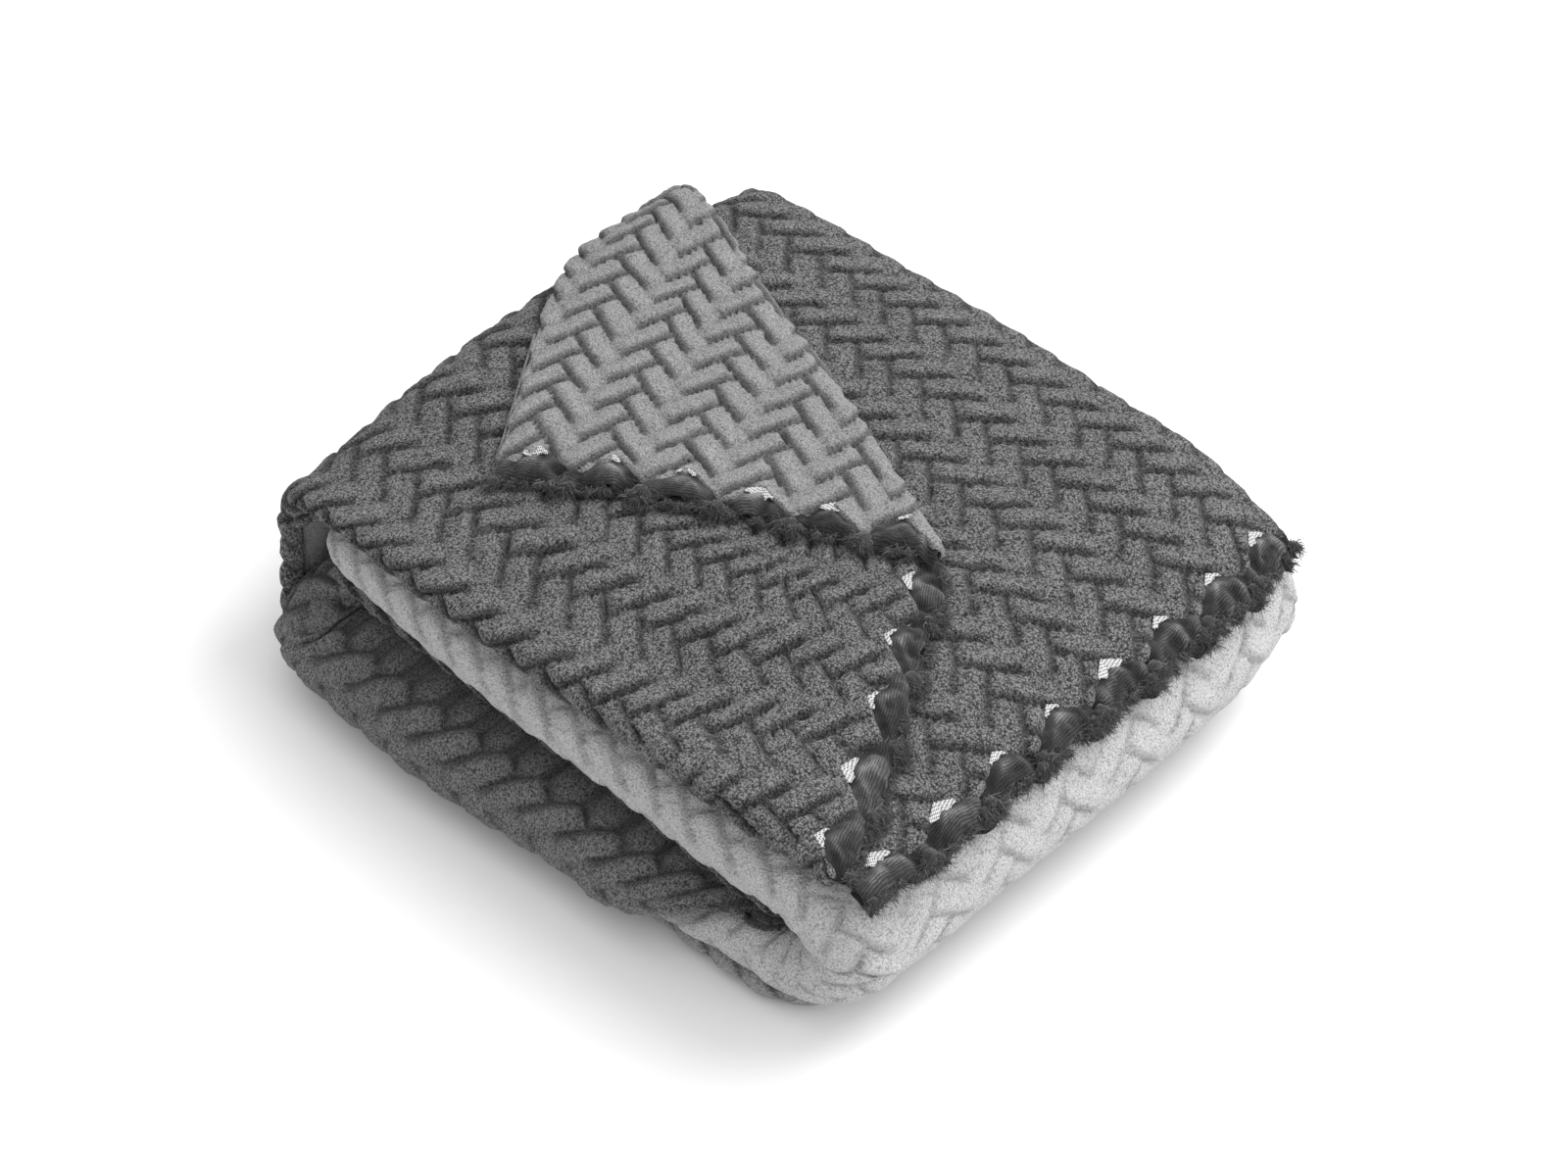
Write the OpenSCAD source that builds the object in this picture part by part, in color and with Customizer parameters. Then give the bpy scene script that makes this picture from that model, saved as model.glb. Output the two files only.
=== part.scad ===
// Folded double-faced fleece throw, lying flat, with its top panel's corner turned back.
// Frame: +Z up, origin at the middle of the footprint on the surface that it rests on.
// +X runs along the long side, towards the jagged cut edges; -Y is the side that shows the creases.

/* [Folded size] */
// Length of the folded stack along X, over the folds
stack_l = 425; // [415:1:435]
// Width of the folded stack along Y, with the lower arm of the dark inner fold, which stands out
stack_w = 370; // [364:1:376]
// How far that lower arm stands out past the other layers
splay = 20; // [14:1:22]

/* [Cloth] */
// Thickness of one ply of fleece, pile included
ply_t = 4.6; // [4.3:0.1:4.7]
// Thickness of the bare knit ground and of the lining mesh at a cut edge
knit_t = 0.6; // [0.4:0.1:0.7]
// Width of the overlocked side seam
seam_w = 1.6; // [1:0.2:1.8]

/* [Cut edge] */
// Distance from one tooth of the sculpted pile to the next
tooth_pitch = 40; // [36:1:50]
// Depth of the notches between the teeth
tooth_depth = 12; // [9:1:13]
// How far the bare knit stands out past the teeth
knit_reach = 8; // [6:0.5:8]

/* [Hidden] */

gap = 0.3;                                  // air between the two plies of a sheet
sheet_t = 2 * ply_t + gap;                  // one two-ply thickness of the throw
layer_gap = 0.4;                            // air between two layers of the fold
layer_t = sheet_t + layer_gap;
half_l = stack_l / 2;
half_w = stack_w / 2;
front = -half_w + splay;                    // the side of all the other layers that faces -Y

// Heights, from the floor up
end_bottom = layer_t;                       // underside of the light end fold
lower_arm_top = end_bottom + 36;            // top of its lower arm
upper_arm_bottom = 76.4;                    // underside of its upper arm
end_top = upper_arm_bottom + 39.9;          // top of its upper arm
wrap_top = end_top + 3 * layer_t;           // top of the top panel, on two other panels
slit_low = 52.4;                            // crevice between the arms of the dark inner fold
slit_high = 56;

// Roundings of the left fold, seen along Y
top_bend_r = 42;
bottom_bend_r = 48;
top_bend_x = -half_l + top_bend_r;
tip_r = top_bend_r - 3 * layer_t;           // rounding of what fits inside the three panels' bend
hinge_z = wrap_top - top_bend_r;            // height at which the top panel starts to lift
hinge_x = -half_l + sheet_t / 2;
under_d = layer_t;                          // depth of the second panel below the top
third_d = 2 * layer_t;                      // depth of the third panel below the top
flap_d = -layer_t;                          // the turned-back corner lies above the top
flap_wrap_end = 144;                        // angle at which it ends, down the left fold

// The top panel lies askew: its cut edge runs from the front corner to the turned-back fold
front_corner = [half_l - 18, front + 4];
fold_front = [half_l - 109.5, front + 177];
fold_back = [-half_l + 5.5, half_w - 49];
flap_tip = [-half_l + 103.5, front + 71];
flap_back = [-half_l - 9, half_w - 105];

// Cut edges of the two panels under it
under_a = [half_l - 9, front + 9];
under_b = [half_l - 9, half_w - 6];
third_a = [half_l - 14, front + 13];
third_b = [half_l - 9, half_w - 9];

// Points on a circle
function arc(c, r, a0, a1, n = 10) =
    [for (i = [0 : n]) let (a = a0 + (a1 - a0) * i / n) [c[0] + r * cos(a), c[1] + r * sin(a)]];
function reversed(p) = [for (i = [len(p) - 1 : -1 : 0]) p[i]];
function unit(v) = v / norm(v);
// Unit normal that points away from the cloth, for an edge with the cloth on its left
function outward(a, b) = let (d = unit(b - a)) [d[1], -d[0]];
function tooth_count(a, b) = round(norm(b - a) / tooth_pitch);

// Turns an XZ profile into a solid from y0 to y1
module across(y0, y1) {
    translate([0, y1, 0]) rotate([90, 0, 0]) linear_extrude(height = y1 - y0) children();
}

module band(outer, inner) {
    polygon(concat(outer, reversed(inner)));
}

module prism(points) {
    linear_extrude(height = 2 * wrap_top) polygon(points);
}

// ---------- lower folds, as XZ profiles inset by d ----------

function wrap_path(d) = concat(
    [[-half_l + d, hinge_z - sheet_t / 2 - gap]],
    arc([-half_l + bottom_bend_r, bottom_bend_r], bottom_bend_r - d, 180, 270),
    [[60, d]]
);

end_r = (end_top - end_bottom) / 2;
end_c = [half_l - end_r, (end_top + end_bottom) / 2];
arm_r = (upper_arm_bottom - lower_arm_top) / 2;
arm_c = [half_l - end_r - 12, (upper_arm_bottom + lower_arm_top) / 2];

function base_path(d) = concat([[61, d]], arc(end_c, end_r + end_bottom - d, -90, -50));

// The lower arm of the light end fold thins out to a wedge, and the dark inner fold lies on that
wedge_x = 60;                               // where the wedge starts
wedge_a = atan((lower_arm_top - end_bottom) / 66);
// x of the wedge's upper face at the height z, moved d towards the end fold
function wedge(z, d) = wedge_x + (z - end_bottom) / tan(wedge_a) + d / sin(wedge_a);

// C that opens towards -X
module end_outline(d) {
    tip = max(tip_r - d, 0.5);
    left = top_bend_x - tip_r + d;
    polygon(concat(
        arc(end_c, end_r - d, 90, -90, 24),
        [[wedge(end_bottom + d, d), end_bottom + d]],
        [[wedge(lower_arm_top - d, d), lower_arm_top - d]],
        arc(arm_c, arm_r + d, -90, 90, 12),
        [[left, upper_arm_bottom + d]],
        arc([left + tip, end_top - d - tip], tip, 180, 90, 6)
    ));
}

// U that opens towards +X, nested in the C
inner_top = upper_arm_bottom - layer_gap;
inner_bottom = end_bottom + layer_gap;
inner_r = (inner_top - inner_bottom) / 2;
inner_c = [-half_l + 45.5, inner_bottom + inner_r];
inner_end = arm_c[0] + 4;
slit_c = [-half_l + 56.5, (slit_low + slit_high) / 2];
module inner_outline() {
    polygon(concat(
        [[arm_c[0] + 12.3, slit_high], [arm_c[0] + 9, inner_top - 4.5], [arm_c[0] + 1, inner_top]],
        arc(inner_c, inner_r, 90, 270, 24),
        [[wedge(inner_bottom, -layer_gap), inner_bottom]],
        [[wedge(lower_arm_top + layer_gap, -layer_gap), lower_arm_top + layer_gap]],
        [[arm_c[0] + 1, lower_arm_top + layer_gap], [arm_c[0] + 9, lower_arm_top + 4.6]],
        [[arm_c[0] + 11, slit_low]],
        arc(slit_c, (slit_high - slit_low) / 2, 270, 90, 6)
    ));
}
// What lies inside the dark ply of both arms
module inner_lining(d) {
    polygon(concat(
        [[inner_end - d, inner_top - d]],
        arc(inner_c, inner_r - d, 90, 270, 24),
        [[wedge(inner_bottom + d, -layer_gap - d), inner_bottom + d]],
        [[wedge(slit_low - d, -layer_gap - d), slit_low - d]],
        arc(slit_c, (slit_high - slit_low) / 2 + d, 270, 90, 6),
        [[inner_end - d, slit_high + d]]
    ));
}
// What lies inside the lower arm only, up to the height of the crevice
module inner_core(d) {
    a0 = 180 + asin((inner_c[1] - slit_low + d) / (inner_r - d));
    polygon(concat(
        [[wedge(slit_low - d, -layer_gap - d), slit_low - d]],
        arc(inner_c, inner_r - d, a0, 270, 12),
        [[wedge(inner_bottom + d, -layer_gap - d), inner_bottom + d]]
    ));
}

// ---------- panels with a sculpted cut edge, seen from above ----------

// Toothed line from a to b with the cloth on its left; a depth of 0 gives its chord
function teeth(a, b, depth) = let (n = tooth_count(a, b), out = outward(a, b))
    [for (i = [0 : 2 * n]) a + (b - a) * i / (2 * n) - out * (i % 2 == 1 ? depth : 0)];

// Softly waved line from a to b, furthest out between the teeth
function waves(a, b, reach, n = 6) = let (m = n * tooth_count(a, b), out = outward(a, b))
    [for (i = [0 : m]) a + (b - a) * i / m + out * reach * (0.75 - 0.25 * cos(360 * i / n))];

// Thin strip outside a cut edge that also fills the notches
function edge_plan(a, b, reach) = let (away = outward(a, b) * 0.5)
    concat(waves(a, b, reach), reversed(teeth(a + away, b + away, tooth_depth)));

fold_out = outward(fold_front, fold_back);
top_plan = concat(
    [[-half_l - 20, front + 3]],
    teeth(front_corner, fold_front, tooth_depth),
    [fold_back, fold_back + [-40, 16]]
);
under_plan = concat(
    [[-half_l - 1, front + 14]],
    teeth(under_a, under_b, tooth_depth),
    [[-half_l - 1, half_w - 6]]
);
third_plan = concat(
    [[-half_l - 1, front + 18]],
    teeth(third_a, third_b, tooth_depth),
    [[-half_l - 1, half_w - 9]]
);
flap_plan = concat(
    teeth(flap_tip, fold_front, tooth_depth),
    [fold_back, fold_back + [-12, 4.8], flap_back]
);

// A panel's path over the top and down the left fold to the angle a_end, inset by d
function panel_path(d, a_end = 180) = concat(
    [[half_l + 12, wrap_top - d]],
    arc([top_bend_x, hinge_z], top_bend_r - d, 90, a_end, 12)
);
module panel_ply(d, plan, a_end = 180) {
    intersection() {
        across(-half_w, half_w) band(panel_path(d, a_end), panel_path(d + ply_t, a_end));
        prism(plan);
    }
}

// Half of the round bead on which the top panel lifts
module hinge_bead(x0, x1) {
    intersection() {
        across(front + 3, fold_back[1] + 9)
            translate([hinge_x, hinge_z]) circle(r = sheet_t / 2, $fn = 48);
        translate([x0, -half_w, hinge_z - sheet_t]) cube([x1 - x0, stack_w, sheet_t]);
    }
}

// A flat strip whose top lies d below the top of the stack
module strip(d, t, plan) {
    translate([0, 0, wrap_top - d - t]) linear_extrude(height = t) polygon(plan);
}

// Loose tufts of dark pile just outside a cut edge, one by each tooth
module tufts(a, b, d) {
    for (i = [0 : tooth_count(a, b) - 1]) {
        at = a + (b - a) * (i + 0.12) / tooth_count(a, b) + outward(a, b) * 4.4;
        translate([at[0], at[1], wrap_top - d - 8]) cylinder(h = 3, r = 2.6, $fn = 24);
    }
}

// ---------- sub-parts ----------

dark = [0.10, 0.10, 0.10];
light = [0.55, 0.55, 0.55];
knit = [0.06, 0.06, 0.06];
mesh = [0.80, 0.80, 0.80];
thread = [0.30, 0.30, 0.30];

module outer_wrap_dark_ply() {
    color(dark) across(front, half_w) band(wrap_path(0), wrap_path(ply_t));
}
module outer_wrap_light_ply() {
    color(light) across(front + 2, half_w - 2) band(wrap_path(ply_t + gap), wrap_path(sheet_t));
}
module base_fold_light_ply() {
    color(light) across(front + 3, half_w - 4) band(base_path(0), base_path(ply_t));
}
module base_fold_dark_ply() {
    color(dark) across(front + 5, half_w - 6) band(base_path(ply_t + gap), base_path(sheet_t));
}
module end_fold_light_ply() {
    color(light) difference() {
        across(front + 3, half_w - 3) end_outline(0);
        across(front + 3 + ply_t, half_w) end_outline(ply_t);
    }
}
module end_fold_dark_ply() {
    color(dark) difference() {
        across(front + 3 + ply_t + gap, half_w - 4) end_outline(ply_t + gap);
        across(front + 3 + sheet_t, half_w) end_outline(sheet_t);
    }
}
module end_fold_core_dark_ply() {
    color(dark) difference() {
        across(front + 3 + layer_t, half_w - 5) end_outline(layer_t);
        across(front + 3 + layer_t + ply_t, half_w) end_outline(layer_t + ply_t);
    }
}
module end_fold_core_light_ply() {
    d = layer_t + ply_t + gap;
    color(light) across(front + 3 + d, half_w - 6) end_outline(d);
}
module inner_fold_dark_ply() {
    color(dark) difference() {
        union() {
            across(front + 2, half_w - 4) inner_outline();
            across(-half_w, front + 12) inner_core(0);
        }
        across(front + 2 + ply_t, half_w) inner_lining(ply_t);
        across(-half_w + ply_t, front + 12) inner_core(ply_t);
    }
}
module inner_fold_light_ply() {
    color(light) difference() {
        union() {
            across(front + 2 + ply_t + gap, half_w - 5) inner_lining(ply_t + gap);
            across(-half_w + ply_t + gap, front + 12) inner_core(ply_t + gap);
        }
        across(-half_w + sheet_t, half_w) inner_core(sheet_t);
    }
}
module inner_fold_core_dark_ply() {
    color(dark) difference() {
        across(-half_w + layer_t, half_w - 6) inner_core(layer_t);
        across(-half_w + layer_t + ply_t, half_w) inner_core(layer_t + ply_t);
    }
}
module inner_fold_core_light_ply() {
    d = layer_t + ply_t + gap;
    color(light) across(-half_w + d, half_w - 7) inner_core(d);
}

module third_panel_dark_ply() { color(dark) panel_ply(third_d, third_plan); }
module third_panel_light_ply() { color(light) panel_ply(third_d + ply_t + gap, third_plan); }
module third_panel_edge_knit() {
    color(knit) strip(third_d + 3, knit_t, edge_plan(third_a, third_b, knit_reach));
}
module third_panel_edge_tufts() { color(knit) tufts(third_a, third_b, third_d); }

module under_panel_dark_ply() { color(dark) panel_ply(under_d, under_plan); }
module under_panel_light_ply() { color(light) panel_ply(under_d + ply_t + gap, under_plan); }
module under_panel_edge_knit() {
    color(knit) strip(under_d + 3, knit_t, edge_plan(under_a, under_b, knit_reach));
}
module under_panel_edge_lining() {
    color(mesh) strip(under_d + 2, knit_t, edge_plan(under_a, under_b, 1.6));
}
module under_panel_edge_tufts() { color(knit) tufts(under_a, under_b, under_d); }

module top_panel_dark_ply() {
    color(dark) {
        panel_ply(0, top_plan);
        hinge_bead(hinge_x - sheet_t, hinge_x - gap / 2);
    }
}
module top_panel_light_ply() {
    color(light) {
        panel_ply(ply_t + gap, top_plan);
        hinge_bead(hinge_x + gap / 2, hinge_x + sheet_t);
    }
}
module top_panel_edge_knit() {
    color(knit) strip(3, knit_t, edge_plan(front_corner, fold_front, knit_reach));
}
module top_panel_edge_lining() {
    color(mesh) strip(2, knit_t, edge_plan(front_corner, fold_front, 1.6));
}
module top_panel_edge_tufts() { color(knit) tufts(front_corner, fold_front, 0); }
module top_panel_side_seam() {
    color(thread) translate([top_bend_x, front + 0.9, wrap_top - ply_t - gap / 2 - seam_w / 2])
        cube([front_corner[0] - 6 - top_bend_x, seam_w, seam_w]);
}

module corner_flap_light_ply() { color(light) panel_ply(flap_d, flap_plan, flap_wrap_end); }
module corner_flap_dark_ply() {
    color(dark) panel_ply(flap_d + ply_t + gap, flap_plan, flap_wrap_end);
}
module corner_flap_edge_knit() {
    color(knit) strip(flap_d + 3, knit_t, edge_plan(flap_tip, fold_front, knit_reach));
}
module corner_flap_edge_lining() {
    color(mesh) strip(flap_d + 2, knit_t, edge_plan(flap_tip, fold_front, 1.6));
}
module corner_flap_edge_tufts() { color(knit) tufts(flap_tip, fold_front, flap_d); }
module corner_flap_side_seam() {
    dir = unit(flap_back - flap_tip);
    out = [-dir[1], dir[0]];
    a = flap_tip + dir * 5 + out * (gap + 0.2);
    b = a + dir * 96;
    color(thread) strip(flap_d + ply_t - seam_w / 2, seam_w, [a, b, b + out * seam_w, a + out * seam_w]);
}

outer_wrap_dark_ply();
outer_wrap_light_ply();
base_fold_light_ply();
base_fold_dark_ply();
end_fold_light_ply();
end_fold_dark_ply();
end_fold_core_dark_ply();
end_fold_core_light_ply();
inner_fold_dark_ply();
inner_fold_light_ply();
inner_fold_core_dark_ply();
inner_fold_core_light_ply();
third_panel_dark_ply();
third_panel_light_ply();
third_panel_edge_knit();
third_panel_edge_tufts();
under_panel_dark_ply();
under_panel_light_ply();
under_panel_edge_knit();
under_panel_edge_lining();
under_panel_edge_tufts();
top_panel_dark_ply();
top_panel_light_ply();
top_panel_edge_knit();
top_panel_edge_lining();
top_panel_edge_tufts();
top_panel_side_seam();
corner_flap_light_ply();
corner_flap_dark_ply();
corner_flap_edge_knit();
corner_flap_edge_lining();
corner_flap_edge_tufts();
corner_flap_side_seam();
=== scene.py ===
"""Folded two-sided fleece throw: the cloth, its cut edges, materials, light and camera.

Lengths in this script are in millimetres until mesh_object() turns them into metres.
Every piece is first shaped in the regular space of the CAD model, ply by ply, and then all of
them go through one smooth warp, settle(), so that layers which lie on each other stay in order.
"""
import bmesh
import bpy
import math
import numpy as np
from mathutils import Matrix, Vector


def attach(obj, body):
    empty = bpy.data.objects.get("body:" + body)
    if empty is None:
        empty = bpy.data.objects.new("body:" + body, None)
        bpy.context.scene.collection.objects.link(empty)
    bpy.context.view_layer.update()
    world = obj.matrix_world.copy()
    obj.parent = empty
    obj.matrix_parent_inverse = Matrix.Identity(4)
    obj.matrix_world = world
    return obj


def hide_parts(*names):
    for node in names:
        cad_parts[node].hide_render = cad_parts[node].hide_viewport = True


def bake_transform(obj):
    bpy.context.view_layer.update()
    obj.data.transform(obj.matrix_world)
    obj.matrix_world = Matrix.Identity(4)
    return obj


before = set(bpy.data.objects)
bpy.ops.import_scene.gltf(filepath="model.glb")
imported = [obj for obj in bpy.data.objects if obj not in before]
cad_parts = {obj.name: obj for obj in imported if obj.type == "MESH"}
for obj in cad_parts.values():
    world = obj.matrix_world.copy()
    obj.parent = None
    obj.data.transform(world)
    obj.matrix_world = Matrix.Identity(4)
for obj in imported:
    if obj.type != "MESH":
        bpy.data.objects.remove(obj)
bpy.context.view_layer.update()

# ---------------------------------------------------------------- sizes, as in the CAD model

STACK_L = 425.0
STACK_W = 370.0
SPLAY = 20.0
PLY = 4.6
GAP = 0.3
SHEET = 2 * PLY + GAP
LAYER = SHEET + 0.4
HALF_L = STACK_L / 2
HALF_W = STACK_W / 2
FRONT = -HALF_W + SPLAY
END_BOTTOM = LAYER
LOWER_ARM_TOP = END_BOTTOM + 36.0
UPPER_ARM_BOTTOM = 76.4
END_TOP = UPPER_ARM_BOTTOM + 39.9
WRAP_TOP = END_TOP + 3 * LAYER
SLIT_LOW = 52.4
SLIT_HIGH = 56.0
TOP_BEND_R = 42.0
BOTTOM_BEND_R = 48.0
TOP_BEND_X = -HALF_L + TOP_BEND_R
TIP_R = TOP_BEND_R - 3 * LAYER
HINGE_Z = WRAP_TOP - TOP_BEND_R
HINGE_X = -HALF_L + SHEET / 2
UNDER_D = LAYER
THIRD_D = 2 * LAYER
FLAP_D = -LAYER
END_R = (END_TOP - END_BOTTOM) / 2
END_C = np.array([HALF_L - END_R, (END_TOP + END_BOTTOM) / 2])
ARM_R = (UPPER_ARM_BOTTOM - LOWER_ARM_TOP) / 2
ARM_C = np.array([HALF_L - END_R - 12, (UPPER_ARM_BOTTOM + LOWER_ARM_TOP) / 2])
INNER_TOP = UPPER_ARM_BOTTOM - 0.4
INNER_BOTTOM = END_BOTTOM + 0.4
INNER_R = (INNER_TOP - INNER_BOTTOM) / 2
INNER_C = np.array([-HALF_L + 45.5, INNER_BOTTOM + INNER_R])
SLIT_C = np.array([-HALF_L + 56.5, (SLIT_LOW + SLIT_HIGH) / 2])
WEDGE_X = 60.0
WEDGE_LENGTH = 66.0
FRONT_CORNER = np.array([HALF_L - 18, FRONT + 4])
FOLD_FRONT = np.array([HALF_L - 109.5, FRONT + 177])
FOLD_BACK = np.array([-HALF_L + 5.5, HALF_W - 49])
FLAP_TIP = np.array([-HALF_L + 103.5, FRONT + 71])
UNDER_A = np.array([HALF_L - 9, FRONT + 9])
UNDER_B = np.array([HALF_L - 9, HALF_W - 6])
THIRD_A = np.array([HALF_L - 14, FRONT + 13])
THIRD_B = np.array([HALF_L - 9, HALF_W - 9])
TOOTH_PITCH = 40.0
TOOTH_DEPTH = 12.0
UNDER_PLY = PLY + GAP


# ---------------------------------------------------------------- small numeric helpers

def unit(v):
    """The direction of a vector."""
    return v / np.linalg.norm(v)


FOLD_DIR = unit(FOLD_BACK - FOLD_FRONT)
FOLD_LEFT = np.array([-FOLD_DIR[1], FOLD_DIR[0]])


def run_along(points):
    """How far along a line each of its points is."""
    return np.concatenate([[0], np.cumsum(np.linalg.norm(np.diff(points, axis=0), axis=1))])


def smooth(x, low=0.0, high=1.0):
    """0 below low, 1 above high, with an even rise between them."""
    t = np.clip((np.asarray(x, float) - low) / (high - low), 0, 1)
    return t * t * (3 - 2 * t)


def hump(x, middle, width):
    """1 at the middle, falling off on both sides like a bell curve."""
    return np.exp(-((np.asarray(x, float) - middle) / width) ** 2)


def lattice(i, j, k, seed):
    """A fixed pseudo-random number from 0 to 1 for each whole-number cell."""
    n = (i * 73856093) ^ (j * 19349663) ^ (k * 83492791) ^ (seed * 2654435761)
    n = (n ^ (n >> 13)) * 1274126177
    n = (n ^ (n >> 16)) & 0xFFFFFF
    return n / float(0xFFFFFF)


def noise(x, y, z, size, seed=1):
    """Smooth noise from -1 to 1 whose lumps are about `size` across."""
    p = [np.asarray(v, float) / size for v in np.broadcast_arrays(x, y, z)]
    c = [np.floor(v).astype(np.int64) for v in p]
    f = [v - w for v, w in zip(p, c)]
    f = [v * v * (3 - 2 * v) for v in f]
    total = 0
    for a in (0, 1):
        for b in (0, 1):
            for d in (0, 1):
                weight = (f[0] if a else 1 - f[0]) * (f[1] if b else 1 - f[1]) * (f[2] if d else 1 - f[2])
                total = total + weight * lattice(c[0] + a, c[1] + b, c[2] + d, seed)
    return 2 * total - 1


def herringbone(a, b, brick, groove):
    """Height and painted shade, each from 0 to 1, of a sculpted parquet whose columns run along b.
    Bricks are twice as long as wide and lie at 45 degrees to the columns. Like shingles, each one
    is full along its long side towards -b, with a deep crease under it, and slopes off behind."""
    wander = 2.3
    wobble = 0.8
    stretch = 1.07
    a2 = a + wander * noise(a, b, 0, 42, 11) + wobble * noise(a, b, 2, 13, 13)
    b2 = b / stretch + wander * noise(a, b, 5, 42, 12) + wobble * noise(a, b, 4, 13, 14)
    p = (a2 + b2) / math.sqrt(2) / brick
    q = (b2 - a2) / math.sqrt(2) / brick
    i = np.floor(p)
    j = np.floor(q)
    fx = p - i
    fy = q - j
    kind = np.mod(i - j, 4).astype(int)
    x = np.where(kind == 1, fx + 1, fx)
    y = np.where(kind == 2, fy + 1, fy)
    across = np.where(kind <= 1, y, x)
    along = np.where(kind <= 1, x, y)
    ends = smooth(np.abs(along - 1), 0.5, 1.0)
    across = np.clip(across - 0.10 * (along - 1) ** 2, 0, 1)
    rise = np.clip(across * brick / groove, 0, 1)
    rise = (1 - (1 - rise) ** 2.4) ** 0.7
    rise = rise + 0.4 * (1 - rise) * ends
    slope = 1 - 0.42 * smooth(across, 0.35, 1.0)
    close = np.clip(np.minimum(along, 2 - along) * brick / (groove * 0.8), 0, 1)
    close = 0.55 + 0.45 * np.sin(close * math.pi / 2)
    height = rise * slope * close
    # painted shade: darkest in the crease under each brick, softer at its ends, and a little darker on its
    # back slope
    shade = np.clip(across * brick / (groove * 1.05), 0, 1)
    shade = (shade + 0.35 * (1 - shade) * ends) * (0.62 + 0.38 * close)
    return height, shade * (1 - 0.22 * smooth(across, 0.6, 1.0))


def grid_normals(p):
    """Unit normals of a grid of points (rows, columns, 3)."""
    du = np.gradient(p, axis=0)
    dv = np.gradient(p, axis=1)
    n = np.cross(du, dv)
    return n / np.maximum(np.linalg.norm(n, axis=2, keepdims=True), 1e-9)


# ---------------------------------------------------------------- the common warp

def settle(p):
    """The regular folded stack, settled as cloth: a low left front corner, panels that sag on to
    the round end fold, swollen creases and gentle unevenness. Nothing passes below z = 0."""
    x, y, z = p[..., 0], p[..., 1], p[..., 2]
    up = np.clip(z / WRAP_TOP, 0, 1.2)
    dx = np.zeros_like(x)
    dy = np.zeros_like(y)
    dz = np.zeros_like(z)
    # the left front corner lies low
    corner = hump(np.minimum(x + 196, 0), 0, 60) * hump(np.maximum(x + 196, 0), 0, 95)
    corner = corner * hump(np.maximum(y + 168, 0), 0, 85)
    dz -= 27 * corner * up ** 2
    # the upper layers sag and lean out over the front side, most towards its right
    front = smooth(-y, 60, 165)
    upper = smooth(z, 55, 85)
    dz -= 12 * front * upper * smooth(x, -190, 0)
    dy -= 9 * smooth(-y, 90, 165) * upper * smooth(x, -200, -60) * (1 - 0.55 * smooth(x, 120, 205))
    dz -= 9 * front * hump(z, 70, 22) * smooth(x, 20, 130)
    # panels sag over the round end fold
    sag = 22 * smooth(x, 100, 232) ** 1.2 * smooth(z, 92, 117)
    dz -= sag * (0.25 + 0.75 * smooth(y, -162, -90))
    # the far long edge is a little lower, and the middle is highest
    dz -= 5 * smooth(y, 105, 200) ** 1.3 * up ** 2
    dz += 2.6 * np.clip(1 - (x / 215) ** 2, 0, 1) * np.clip(1 - ((y - 10) / 178) ** 2, 0, 1) * up ** 2
    # swollen lower creases on the front side, and a full end fold
    swell = 16 * hump(x, -75, 130) + 12 * smooth(x, 20, 110)
    dy -= swell * hump(z, 20, 34) * smooth(-y, 100, 178)
    dx += 6 * hump(z, 58, 40) * smooth(x, 130, 212) * (0.4 + 0.6 * hump(y, 70, 130))
    # corners pull in where the stack is seen from above
    dx -= 7 * smooth(x, 120, 212) * smooth(y, 120, 185) - 3 * smooth(-x, 130, 212) * smooth(y, 130, 185)
    dy -= 4 * smooth(y, 130, 185) * smooth(np.abs(x), 130, 212)
    # gentle unevenness
    uneven = np.clip(z / 30, 0, 1)
    dx += 2.2 * noise(x, y, z, 95, 21) * uneven
    dy += 2.4 * noise(x, y, z, 90, 22) * uneven
    dz += 2.0 * noise(x, y, z * 0.5, 100, 23) * uneven
    return np.stack([x + dx, y + dy, np.maximum(z + dz, 0)], axis=-1)


# ---------------------------------------------------------------- meshes

def mesh_object(node, verts, faces, **values):
    """The piece for a CAD node: a smooth mesh from points in millimetres, with values at its points."""
    name = "throw_" + node
    mesh = bpy.data.meshes.new(name)
    mesh.from_pydata((np.asarray(verts) * 0.001).tolist(), [], faces)
    mesh.update()
    for key, numbers in values.items():
        layer = mesh.attributes.new(key, "FLOAT", "POINT")
        layer.data.foreach_set("value", np.asarray(numbers, np.float32).ravel())
    rest = mesh.attributes.new("rest", "FLOAT_VECTOR", "POINT")
    rest.data.foreach_set("vector", np.asarray(verts, np.float32).ravel())
    mesh.polygons.foreach_set("use_smooth", [True] * len(mesh.polygons))
    return placed(name, mesh)


def placed(name, data):
    """A new object in the scene."""
    obj = bpy.data.objects.new(name, data)
    bpy.context.scene.collection.objects.link(obj)
    return obj


def coarse_picks(n, step):
    """Every step-th of n rows, and always the last one."""
    picks = list(range(0, n - 1, step))
    if n - 1 - picks[-1] < step // 2 and len(picks) > 1:
        picks.pop()
    return picks + [n - 1]


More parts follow.
